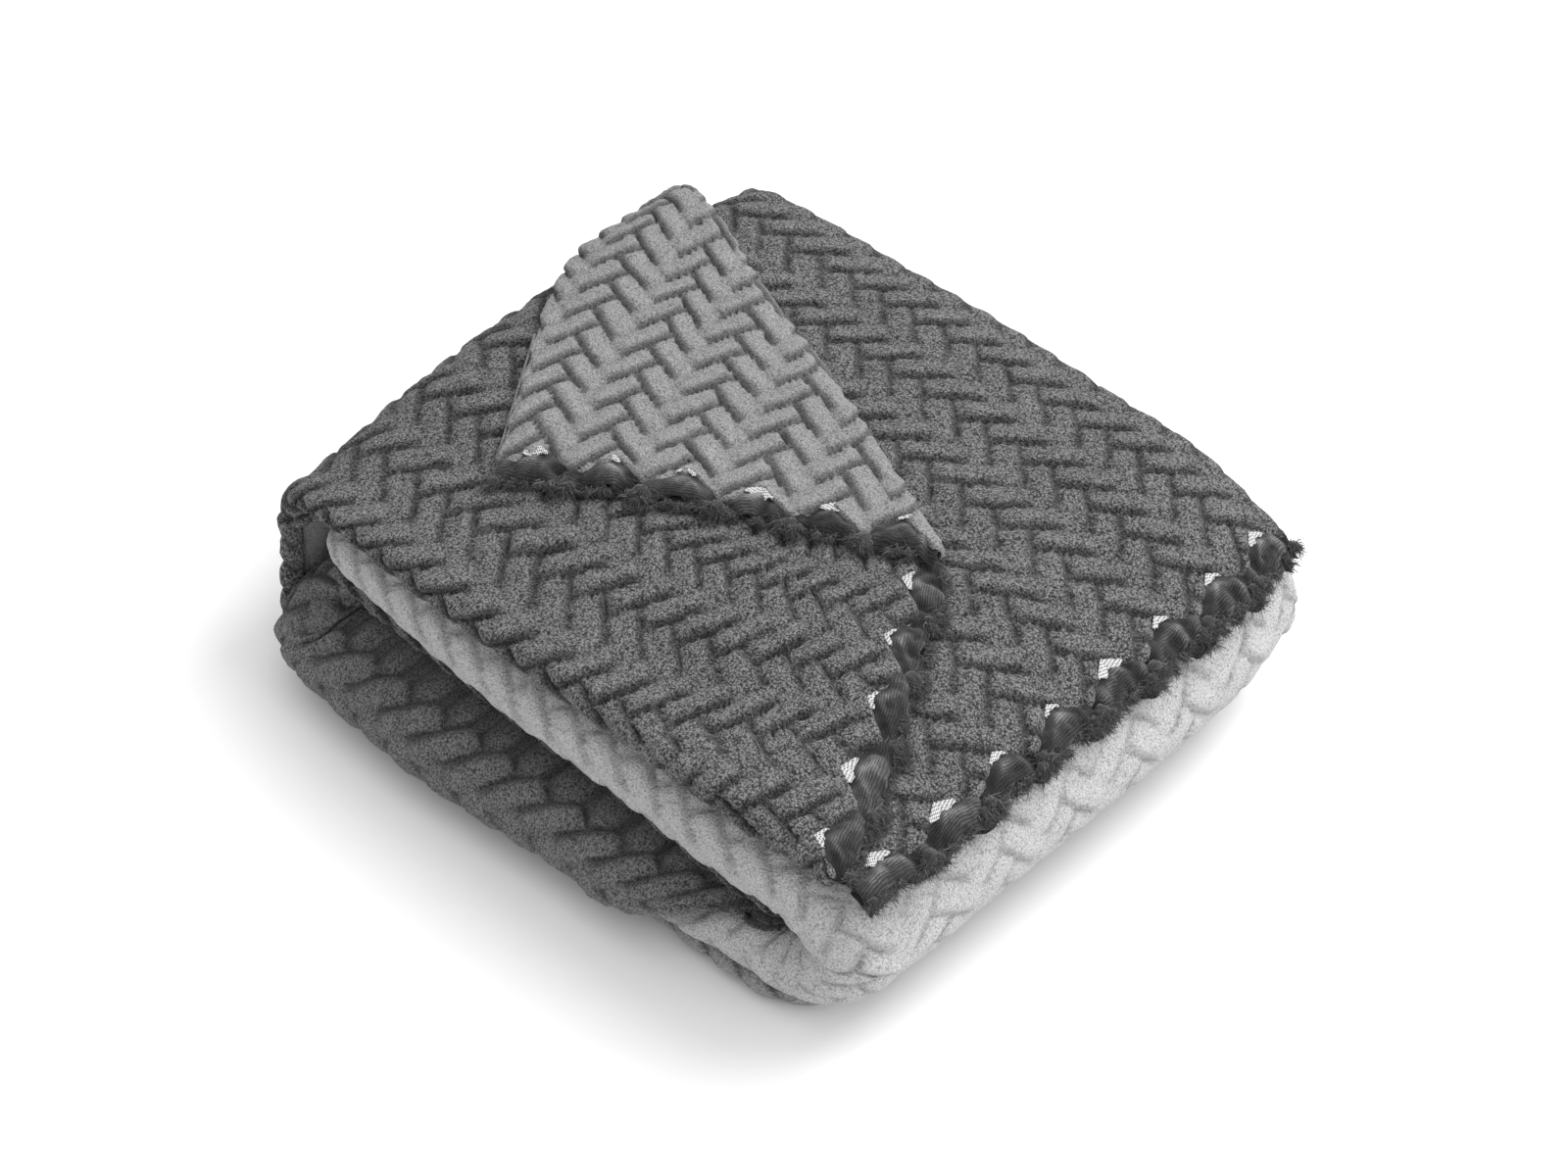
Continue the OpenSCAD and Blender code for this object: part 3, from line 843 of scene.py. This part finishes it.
def side_seam(node, body, points):
    """An overlocked seam: a thin cord with slanting stitches, along points that are SEAM_STEP apart."""
    stitch = 2.3
    n = len(points)
    t = np.gradient(points, axis=0)
    t /= np.linalg.norm(t, axis=1, keepdims=True)
    side = np.cross(t, [0, 0, 1.0])
    side /= np.linalg.norm(side, axis=1, keepdims=True)
    top = np.cross(side, t)
    sides = 8
    ang = np.linspace(0, 2 * math.pi, sides, endpoint=False)
    run = np.arange(n) * SEAM_STEP
    r = 0.62 + 0.22 * np.sin(run[:, None] * 2 * math.pi / stitch + ang[None, :])
    v = points[:, None, :] + side[:, None, :] * (r * np.cos(ang))[..., None]
    v = v + top[:, None, :] * (r * np.sin(ang))[..., None]
    faces, rings = tube_faces(n, sides)
    faces += [rings[0, ::-1].tolist(), rings[-1].tolist()]
    keep(mesh_object(node, settle(v.reshape(-1, 3)), faces), node, body)


# ---------------------------------------------------------------- build the throw

FINE = 2.2
COARSE = 9.0
COARSE_PATH = 6.0

# the light end fold, with the same cloth inside it
END_BULGE = 22
strip("end_fold_light_ply", end_fold_path(FINE * 1.1), FRONT + 3, HALF_W - 3, END_BULGE, 0.0, FINE * 1.2,
      (26, 26), arc_n=34, rests_on=["throw_inner_fold_dark_ply"], depth=2.3, brick=16.5, groove=5.4, seed=41)
for node, inset, back_gap, seed in (
        ("end_fold_dark_ply", UNDER_PLY, 4, 42),
        ("end_fold_core_dark_ply", LAYER, 5, 43),
        ("end_fold_core_light_ply", LAYER + UNDER_PLY, 6, 44)):
    strip(node, end_fold_path(COARSE_PATH), FRONT + 3, HALF_W - back_gap, END_BULGE, inset, COARSE,
          arc_n=12, depth=0.6, seed=seed, step=2)

# the dark inner fold, whose face is fine only near its crease
INNER_BULGE = 20
inner_path = inner_fold_path(FINE * 1.1)
strip("inner_fold_dark_ply", inner_path, inner_front(inner_path), HALF_W - 4, INNER_BULGE, 0.0, FINE,
      (14, 14), np.concatenate([np.arange(1.6, 40, 2.0), np.arange(44, 360, 9.0)]), 34,
      ["throw_outer_wrap_light_ply"], depth=5.4, brick=17.5, groove=7.5, seed=51, puff=0.15)
inner_path = inner_fold_path(COARSE_PATH)
strip("inner_fold_light_ply", inner_path, inner_front(inner_path) + 6, HALF_W - 5, INNER_BULGE,
      UNDER_PLY + 1.2, COARSE, (14, 14), arc_n=12, depth=0.4, seed=52, step=2, thick=3.0)
for node, inset, back_gap, seed, right in (
        ("inner_fold_core_dark_ply", LAYER, 6, 53, WEDGE_X + 22),
        ("inner_fold_core_light_ply", LAYER + UNDER_PLY, 7, 54, WEDGE_X + 8)):
    arm = lower_arm(COARSE_PATH, right)
    strip(node, arm, inner_front(arm), HALF_W - back_gap, INNER_BULGE, inset, COARSE,
          arc_n=12, depth=0.4, seed=seed, step=2)

# the outer wrap, down the left side and under the stack
r = BOTTOM_BEND_R
wrap_line = np.concatenate([
    line((60, 0), (-HALF_L + r, 0), FINE * 1.4),
    circle((-HALF_L + r, r), r, 270, 180, int(r * math.pi / 2 / (FINE * 1.2))),
    resample((-HALF_L, r), (-HALF_L, HINGE_Z - SHEET / 2 - GAP), int(51 / (FINE * 1.2)), True),
])
wrap_in = inward_normals(wrap_line)
wrap_ply("outer_wrap_dark_ply", wrap_line, wrap_in, FRONT + 12, HALF_W, FINE * 1.25, 350, ["floor"], -1,
         (12.0, 15.0, math.pi * 0.95, 20), brick=15.5, depth=3.8, groove=6.5, seed=61)
wrap_in = wrap_in[::3]
wrap_ply("outer_wrap_light_ply", wrap_line[::3] + wrap_in * UNDER_PLY, wrap_in, FRONT + 15, HALF_W - 3, 8.0,
         350, ["throw_outer_wrap_dark_ply"], -1, depth=0.5, groove=4.2, seed=62, step=2)

# the end of the bottom layer, which peeks out under the end fold
base_r = END_R + END_BOTTOM
base_line = np.concatenate([
    circle(END_C, base_r, -54, -90, int(base_r * 0.63 / FINE)),
    resample((END_C[0], 0), (61, 0), int(98 / FINE), True),
])
base_in = inward_normals(base_line)
wrap_ply("base_fold_light_ply", base_line, base_in, FRONT + 16, HALF_W - 4, FINE * 1.25, 350, ["floor"], 1,
         (13.0, 17.0, math.pi * 0.9, 20), 48.0, brick=15.5, depth=2.6, groove=6.0, seed=63)
base_in = base_in[21::3]
wrap_ply("base_fold_dark_ply", base_line[21::3] + base_in * UNDER_PLY, base_in, FRONT + 50, HALF_W - 7, 8.0,
         345, ["throw_base_fold_light_ply"], depth=0.5, groove=4.0, seed=64, step=2)


# the three panels over the top
def straight(x, y):
    """Cloth coordinates of a panel that isn't askew."""
    return y - FRONT, x


on_end = ["throw_end_fold_light_ply"]
on_third = ["throw_third_panel_dark_ply"]
on_under = ["throw_under_panel_dark_ply"]
panel("third_panel_dark_ply", "stack", THIRD_D, FRONT + 20, HALF_W - 9,
      increasing(*edge_line(THIRD_A, THIRD_B, 35)), straight, (4, PLY, math.pi * 0.8, 7), 71, FINE * 2.0,
      13.2, 1.6, step=2, flat=(328, 440), rests_on=on_end)
panel("third_panel_light_ply", "stack", THIRD_D + UNDER_PLY, FRONT + 20, HALF_W - 9,
      increasing(*edge_line(THIRD_A, THIRD_B, 35, 1.0)), straight, None, 72, FINE * 3.0,
      13.2, 0.8, step=2, flat=(328, 430), rests_on=on_end)
panel("under_panel_dark_ply", "stack", UNDER_D, FRONT + 20, HALF_W - 6,
      increasing(*edge_line(UNDER_A, UNDER_B, 33)), straight, (4, PLY, math.pi * 0.9, 8), 73, FINE,
      15.0, 3.8, 5.2, flat=(335, 455), rests_on=on_third)
panel("under_panel_light_ply", "stack", UNDER_D + UNDER_PLY, FRONT + 19, HALF_W - 7,
      increasing(*edge_line(UNDER_A, UNDER_B, 33, 1.2)), straight, None, 74, FINE * 3.0,
      13.2, 0.8, step=2, flat=(335, 445), rests_on=on_third)
lift_start = (HINGE_X / 1000, 0, (HINGE_Z - 3) / 1000)
lift_end = ((HINGE_X + 27) / 1000, 0, (HINGE_Z + 23) / 1000)
lift = ("stack", "top_panel", lift_start, lift_end)
panel("top_panel_dark_ply", "top_panel", 0.0, FRONT + 15, FOLD_BACK[1] + 3,
      top_edge(), top_cloth, (13, 21.0, math.pi * 0.95, 26), 75, FINE,
      16.2, 4.6, 5.6, hem=4.6, flat=(322, 450), area=103000, rests_on=on_under, blend=lift)
panel("top_panel_light_ply", "top_panel", SHEET, FRONT + 18, FOLD_BACK[1] - 1,
      top_edge(3.0), top_cloth, None, 76, FINE * 1.3,
      16.2, 2.4, 5.6, hem=4.4, face_down=True, flat=(322, 440), area=98000, rests_on=on_under, blend=lift)

# the corner turned back over the top panel
FLAP_R = TOP_BEND_R - FLAP_D
FLAP_END_X = TOP_BEND_X - FLAP_R * math.radians(54)
FLAP_LEFT_END = np.array([FLAP_END_X, 68.0])
FLAP_RIGHT_END = FOLD_BACK + FOLD_DIR * 14
SEAM_OUT = unit(np.array([-(FLAP_LEFT_END - FLAP_TIP)[1], (FLAP_LEFT_END - FLAP_TIP)[0]]))
FLAP_ROLL = 9.7


def flap_base(depth, step, fold_in, seam_in, seam_roll=None, fold_roll=False):
    """The outer face of the turned-back corner. Rows run from the side seam to the fold, and
    columns from the cut edge to the far end over the left fold."""
    w = np.linspace(0, 1, int(243 / step))
    left0, left1 = FLAP_TIP - SEAM_OUT * seam_in, FLAP_LEFT_END - SEAM_OUT * seam_in
    right0, right1 = FOLD_FRONT + FOLD_LEFT * fold_in, FLAP_RIGHT_END + FOLD_LEFT * fold_in
    side = np.zeros((0, 2))
    drop = np.zeros(0)
    share = w
    if seam_roll is not None:
        out, down = rolled_edge(*seam_roll)
        side = SEAM_OUT * out[:, None]
        drop = down
        share = np.concatenate([np.zeros(len(out)), w])
    shift = np.concatenate([side, np.zeros((len(w), 2))])
    fall = np.concatenate([drop, np.zeros(len(w))])
    if fold_roll:
        phi = np.linspace(0, math.radians(118), 16)[1:]
        shift = np.concatenate([shift, -FOLD_LEFT * (FLAP_ROLL * np.sin(phi))[:, None]])
        fall = np.concatenate([fall, FLAP_ROLL * (1 - np.cos(phi))])
        share = np.concatenate([share, np.ones(len(phi))])
    start = left0 + (right0 - left0) * share[:, None]
    end = left1 + (right1 - left1) * share[:, None]
    lengths = np.linalg.norm(end - start, axis=1)
    n = int(300 / step)
    near_edge = TAIL[::-1][None, :] / lengths[:, None]
    rest = near_edge[:, -1:] + (1 - near_edge[:, -1:]) * np.linspace(0, 1, n)[None, 1:]
    t = np.concatenate([near_edge, rest], axis=1)
    xy = start[:, None, :] + (end - start)[:, None, :] * t[..., None] + shift[:, None, :]
    wave = tooth_wave(np.clip(share, 0, 1), tooth_count(FLAP_TIP, FOLD_FRONT), 37)
    fade = np.clip(1 - t * lengths[:, None] / 70, 0, 1)
    out = outward(FLAP_TIP, FOLD_FRONT)
    xy = xy - out * (TOOTH_DEPTH * wave[:, None] * fade)[..., None]
    base = over_top(xy[..., 0], xy[..., 1], depth + fall[:, None], FLAP_R)
    d = unit(FOLD_FRONT - FLAP_TIP)
    round_rolls = run_along(np.column_stack([shift, fall]))
    round_rolls = round_rolls - round_rolls[len(drop)]
    before_fold = np.arange(len(share)) < len(drop) + len(w)
    round_rolls = np.where(before_fold, np.minimum(round_rolls, 0), round_rolls)
    unrolled = xy - shift[:, None, :]
    a = (unrolled - FLAP_TIP) @ d + round_rolls[:, None]
    b = (unrolled - FLAP_TIP) @ -out
    return base, a, b, t * lengths[:, None], (1 - t) * lengths[:, None]


flap_area = plan_area([FLAP_TIP, FOLD_FRONT, FLAP_RIGHT_END, FLAP_LEFT_END])
flap_facts = {"flat": (250, 190), "rests_on": ["throw_top_panel_dark_ply"], "area": flap_area}
base, a, b, s, far = flap_base(FLAP_D, FINE, 4.0, 6.0, (6.0, SHEET * 0.9, math.pi * 0.9, 14), True)
light = ply("corner_flap_light_ply", base, a, b, brick=14.4, groove=5.0, depth=4.2, seed=81, lean=1,
            edge=rim_drop(s * 0.8) + rim_drop(far, 3.5))
keep(light, "corner_flap_light_ply", "corner_flap", **flap_facts)
base, a, b, s, far = flap_base(FLAP_D + SHEET, FINE * 1.2, 5.5, 7.5)
dark = ply("corner_flap_dark_ply", base[::-1], a[::-1], b[::-1], brick=14.4, groove=5.0, depth=2.6, seed=82,
           lean=1, edge=0.4 * rim_drop(s[::-1]))
keep(dark, "corner_flap_dark_ply", "corner_flap", **flap_facts)

# cut edges: each one's ends, depth, seed, fibres in a clump and the share of it that has tufts
for name, body, a, b, depth, seed, fibres, last in (
        ("third_panel", "stack", THIRD_A, THIRD_B, THIRD_D, 35, 26, 0.996),
        ("under_panel", "stack", UNDER_A, UNDER_B, UNDER_D, 33, 64, 0.996),
        ("top_panel", "top_panel", FRONT_CORNER, FOLD_FRONT, 0.0, 31, 64, 0.95),
        ("corner_flap", "corner_flap", FLAP_TIP, FOLD_FRONT, FLAP_D, 37, 64, 0.95)):
    edge_knit(name + "_edge_knit", body, a, b, depth, seed)
    if name != "third_panel":
        edge_lining(name + "_edge_lining", body, a, b, depth, seed)
    edge_tufts(name + "_edge_tufts", body, a, b, depth, seed + 100, fibres, last)

# side seams
x = np.arange(TOP_BEND_X, FRONT_CORNER[0] - 6, SEAM_STEP)
side_seam("top_panel_side_seam", "top_panel",
          np.stack([x, np.full_like(x, FRONT + 12.0), np.full_like(x, WRAP_TOP - 21.5)], axis=1))
along = np.arange(4, 96, SEAM_STEP)[:, None]
path = FLAP_TIP + unit(FLAP_LEFT_END - FLAP_TIP) * along - SEAM_OUT * 0.2
side_seam("corner_flap_side_seam", "corner_flap", over_top(path[:, 0], path[:, 1], FLAP_D + PLY, FLAP_R))


# ---------------------------------------------------------------- materials

class Nodes:
    """A small helper for writing a node material."""

    def __init__(self, name, rough=1.0, sheen=0.0, specular=0.2):
        self.mat = bpy.data.materials.new(name)
        self.mat.use_nodes = True
        self.tree = self.mat.node_tree
        self.shader = self.tree.nodes["Principled BSDF"]
        self.shader.inputs["Roughness"].default_value = rough
        self.shader.inputs["Metallic"].default_value = 0.0
        self.shader.inputs["Specular IOR Level"].default_value = specular
        self.shader.inputs["Sheen Weight"].default_value = sheen
        self.shader.inputs["Sheen Roughness"].default_value = 0.5

    def add(self, kind, inputs=None, **settings):
        node = self.tree.nodes.new(kind)
        for key, value in settings.items():
            setattr(node, key, value)
        for key, value in (inputs or {}).items():
            self.put(node, key, value)
        return node

    def put(self, node, key, value):
        if isinstance(value, bpy.types.NodeSocket):
            self.tree.links.new(value, node.inputs[key])
        else:
            node.inputs[key].default_value = value

    def rest(self):
        """Each point's own place in millimetres, which stays with the piece when it moves."""
        return self.add("ShaderNodeAttribute", attribute_name="rest").outputs["Vector"]

    def point(self, name):
        """A value that the mesh holds at its points."""
        return self.add("ShaderNodeAttribute", attribute_name=name).outputs["Fac"]

    def noise(self, vector, size, detail=2.0, rough=0.5):
        """Noise whose lumps are about `size` millimetres across."""
        node = self.add("ShaderNodeTexNoise", {"Vector": vector, "Scale": 1 / size, "Detail": detail,
                                               "Roughness": rough})
        return node.outputs["Fac"]

    def noise_vector(self, vector, size, strength):
        """The vector, bent by noise by up to about `strength` millimetres."""
        node = self.add("ShaderNodeTexNoise", {"Vector": vector, "Scale": 1 / size, "Detail": 1.0})
        bent = self.vector("SUBTRACT", {0: node.outputs["Color"], 1: (0.5, 0.5, 0.5)})
        return self.vector("ADD", {0: vector, 1: self.vector("SCALE", {0: bent, 3: strength * 2})})

    def vector(self, kind, inputs):
        return self.add("ShaderNodeVectorMath", inputs, operation=kind).outputs[0]

    def cells(self, vector, size):
        """A random value for each cell about `size` millimetres across, and the distance to its middle."""
        node = self.add("ShaderNodeTexVoronoi", {"Vector": vector, "Scale": 1 / size})
        split = self.add("ShaderNodeSeparateColor", {"Color": node.outputs["Color"]})
        return split.outputs["Red"], node.outputs["Distance"]

    def math(self, kind, a, b=0.0, c=0.0):
        return self.add("ShaderNodeMath", {0: a, 1: b, 2: c}, operation=kind).outputs[0]

    def ramp(self, value, stops):
        node = self.add("ShaderNodeValToRGB", {"Fac": value})
        ramp = node.color_ramp
        ramp.elements[0].position = stops[0][0]
        ramp.elements[0].color = grey(stops[0][1])
        ramp.elements[1].position = stops[-1][0]
        ramp.elements[1].color = grey(stops[-1][1])
        for at, tone in stops[1:-1]:
            ramp.elements.new(at).color = grey(tone)
        return node.outputs["Color"]

    def multiply(self, a, b):
        """The product of two colours. Sockets 6 and 7 are a Mix node's colour inputs."""
        node = self.add("ShaderNodeMix", data_type="RGBA", blend_type="MULTIPLY")
        self.put(node, 0, 1.0)
        self.put(node, 6, a)
        self.put(node, 7, b)
        return node.outputs[2]

    def bump(self, height, distance):
        node = self.add("ShaderNodeBump", {"Height": height, "Distance": distance, "Strength": 1.0})
        self.put(self.shader, "Normal", node.outputs["Normal"])

    def colour(self, value):
        self.put(self.shader, "Base Color", value)
        return self.mat


def grey(tone):
    """A grey, given its brightness in linear light."""
    return (tone, tone, tone, 1.0)


def fleece(name, deep, mid, bright, curl, groove, sheen, bump):
    """Pile fleece: small curls of fibre with dark gaps between them, matted in patches. deep, mid and
    bright are its tones, curl the size of a curl, and groove the brightness of the painted crease shade."""
    m = Nodes(name, rough=0.95, sheen=sheen, specular=0.1)
    at = m.rest()
    bent = m.noise_vector(at, curl * 1.6, curl * 0.9)
    tone, gap = m.cells(bent, curl)
    fibre = m.noise(at, curl * 0.5, 3.0, 0.7)
    patch = m.noise(at, 7.0, 3.0, 0.6)
    worn = m.noise(at, 70.0, 1.0)
    mixed = m.math("MULTIPLY_ADD", gap, -0.75, 0.62)
    mixed = m.math("MULTIPLY_ADD", tone, 0.20, mixed)
    mixed = m.math("MULTIPLY_ADD", fibre, 0.46, mixed)
    mixed = m.math("MULTIPLY_ADD", patch, 0.14, mixed)
    mixed = m.math("MULTIPLY_ADD", worn, 0.10, mixed)
    speckle = m.ramp(mixed, [(0.34, deep), (0.60, mid), (0.88, bright)])
    # painted shade in the relief's creases and painted light on its high parts, read from the points' values
    shade = m.ramp(m.point("pile"), [(0.12, groove), (0.42, (1 + 2 * groove) / 3), (0.82, 1.0)])
    m.bump(mixed, bump)
    return m.colour(m.multiply(speckle, shade))


def make_knit():
    m = Nodes("bare ribbed knit", rough=0.85, sheen=0.25, specular=0.2)
    at = m.rest()
    rib = m.math("ADD", m.point("rib"), m.math("MULTIPLY", m.noise(at, 6.0, 2.0), 1.6))
    wave = m.math("SINE", m.math("MULTIPLY", rib, 2 * math.pi / 1.3))
    loops = m.noise(at, 1.0, 3.0, 0.7)
    streak = m.noise(at, 5.0, 2.0, 0.6)
    ridge = m.math("MULTIPLY_ADD", wave, 0.5, 0.5)
    tone = m.math("MULTIPLY_ADD", ridge, 0.20, m.math("MULTIPLY", loops, 0.42))
    tone = m.math("MULTIPLY_ADD", streak, 0.35, tone)
    # painted highlight from the arch values: pale streaks on the knit's arches and raised creases
    tone = m.math("MULTIPLY_ADD", m.point("arch"), 0.42, tone)
    m.bump(tone, 0.0006)
    return m.colour(m.ramp(tone, [(0.35, 0.004), (0.62, 0.026), (0.80, 0.07), (1.0, 0.20)]))


def make_mesh():
    m = Nodes("pale mesh", rough=0.9, sheen=0.2, specular=0.1)
    u = m.math("SINE", m.math("MULTIPLY", m.point("net_u"), 2 * math.pi / 1.9))
    v = m.math("SINE", m.math("MULTIPLY", m.point("net_v"), 2 * math.pi / 1.7))
    net = m.math("MULTIPLY_ADD", m.math("MULTIPLY", u, v), 0.5, 0.5)
    frayed = m.math("MULTIPLY_ADD", m.noise(m.rest(), 1.2, 2.0), 0.5, m.math("MULTIPLY", net, 0.75))
    m.bump(net, 0.0005)
    return m.colour(m.ramp(frayed, [(0.36, 0.05), (0.52, 0.42), (0.8, 0.66)]))


def make_tufts():
    m = Nodes("loose pile", rough=0.9, sheen=0.35, specular=0.15)
    at = m.rest()
    fibre = m.noise(at, 0.9, 3.0, 0.7)
    tone = m.math("MULTIPLY_ADD", m.point("pile"), 0.75, m.math("MULTIPLY", fibre, 0.3))
    m.bump(fibre, 0.0008)
    return m.colour(m.ramp(tone, [(0.1, 0.016), (0.55, 0.045), (0.85, 0.13), (1.0, 0.32)]))


def make_thread():
    m = Nodes("seam thread", rough=0.85, sheen=0.2)
    return m.colour(m.ramp(m.noise(m.rest(), 1.2, 2.0), [(0.2, 0.10), (0.8, 0.22)]))


# the same two fleeces, and copies with painted light (a lighter charcoal) and painted shade (darker pale
# greys)
DARK = fleece("charcoal fleece", 0.004, 0.058, 0.28, 1.15, 0.06, 0.15, 0.0019)
LIT_CHARCOAL = fleece("charcoal fleece, painted light", 0.012, 0.086, 0.25, 1.0, 0.12, 0.2, 0.0014)
LIGHT = fleece("pale grey fleece", 0.28, 0.455, 0.62, 1.1, 0.60, 0.1, 0.0012)
SHADED_BASE_GREY = fleece("pale grey fleece, painted shade below", 0.16, 0.27, 0.40, 1.2, 0.42, 0.1, 0.0014)
SHADED_FLAP_GREY = fleece("pale grey fleece, painted shade", 0.11, 0.215, 0.36, 1.0, 0.24, 0.1, 0.0012)
MATERIALS = {
    "dark_fleece": DARK,
    "light_fleece": LIGHT,
    "knit_ground": make_knit(),
    "lining_mesh": make_mesh(),
    "pile_tufts": make_tufts(),
    "seam_thread": make_thread(),
}
# the pieces that take the copies with painted light and painted shade
PAINTED_LIGHT_COPIES = {"corner_flap_light_ply": SHADED_FLAP_GREY, "inner_fold_dark_ply": LIT_CHARCOAL, "base_fold_light_ply": SHADED_BASE_GREY}
for node, obj in pieces.items():
    obj.data.materials.append(PAINTED_LIGHT_COPIES.get(node, MATERIALS[slot_of(node)]))


# ---------------------------------------------------------------- floor, light and camera

def make_floor():
    mesh = bpy.data.meshes.new("floor")
    half = 14.0
    corners = [(-half, -half, 0), (half, -half, 0), (half, half, 0), (-half, half, 0)]
    mesh.from_pydata(corners, [], [(0, 1, 2, 3)])
    floor = placed("floor", mesh)
    m = Nodes("pale floor", rough=1.0, specular=0.0)
    floor.data.materials.append(m.colour(grey(0.84)))


def area_light(name, place, target, size, watts):
    data = bpy.data.lights.new(name, "AREA")
    data.shape = "DISK"
    data.size = size
    data.energy = watts
    light = placed(name, data)
    light.location = place
    light.rotation_euler = (Vector(target) - Vector(place)).to_track_quat("-Z", "Y").to_euler()


make_floor()
area_light("key", (0.7, 1.2, 2.3), (0, 0, 0.08), 1.5, 44)
area_light("side", (2.2, 0.4, 1.0), (0, 0, 0.08), 1.5, 8)

# light from all round, brighter above and to the camera's right, darker to its left
world = bpy.data.worlds.new("studio")
bpy.context.scene.world = world
world.use_nodes = True
tree = world.node_tree
facing = tree.nodes.new("ShaderNodeVectorMath")
facing.operation = "DOT_PRODUCT"
facing.inputs[1].default_value = (0.42, 0.60, 0.68)
tree.links.new(tree.nodes.new("ShaderNodeTexCoord").outputs["Generated"], facing.inputs[0])
level = tree.nodes.new("ShaderNodeMapRange")
level.inputs["From Min"].default_value = -0.9
level.inputs["From Max"].default_value = 0.9
level.inputs["To Min"].default_value = 0.30
level.inputs["To Max"].default_value = 1.42
tree.links.new(facing.outputs["Value"], level.inputs["Value"])
tree.nodes["Background"].inputs["Color"].default_value = (1.0, 1.0, 1.0, 1.0)
tree.links.new(level.outputs["Result"], tree.nodes["Background"].inputs["Strength"])

CAMERA_AZIMUTH = math.radians(43.6)
CAMERA_ELEVATION = math.radians(45.0)
CAMERA_DISTANCE = 1.96
camera_data = bpy.data.cameras.new("camera")
camera_data.lens = 85
camera_data.sensor_width = 36
camera = placed("camera", camera_data)
back = Vector((
    math.sin(CAMERA_AZIMUTH) * math.cos(CAMERA_ELEVATION),
    -math.cos(CAMERA_AZIMUTH) * math.cos(CAMERA_ELEVATION),
    math.sin(CAMERA_ELEVATION),
))
target = Vector((-0.002, 0.008, 0.055))
camera.location = target + back * CAMERA_DISTANCE
camera.rotation_euler = (-back).to_track_quat("-Z", "Y").to_euler()
bpy.context.scene.camera = camera
bpy.context.scene.view_settings.view_transform = "Standard"
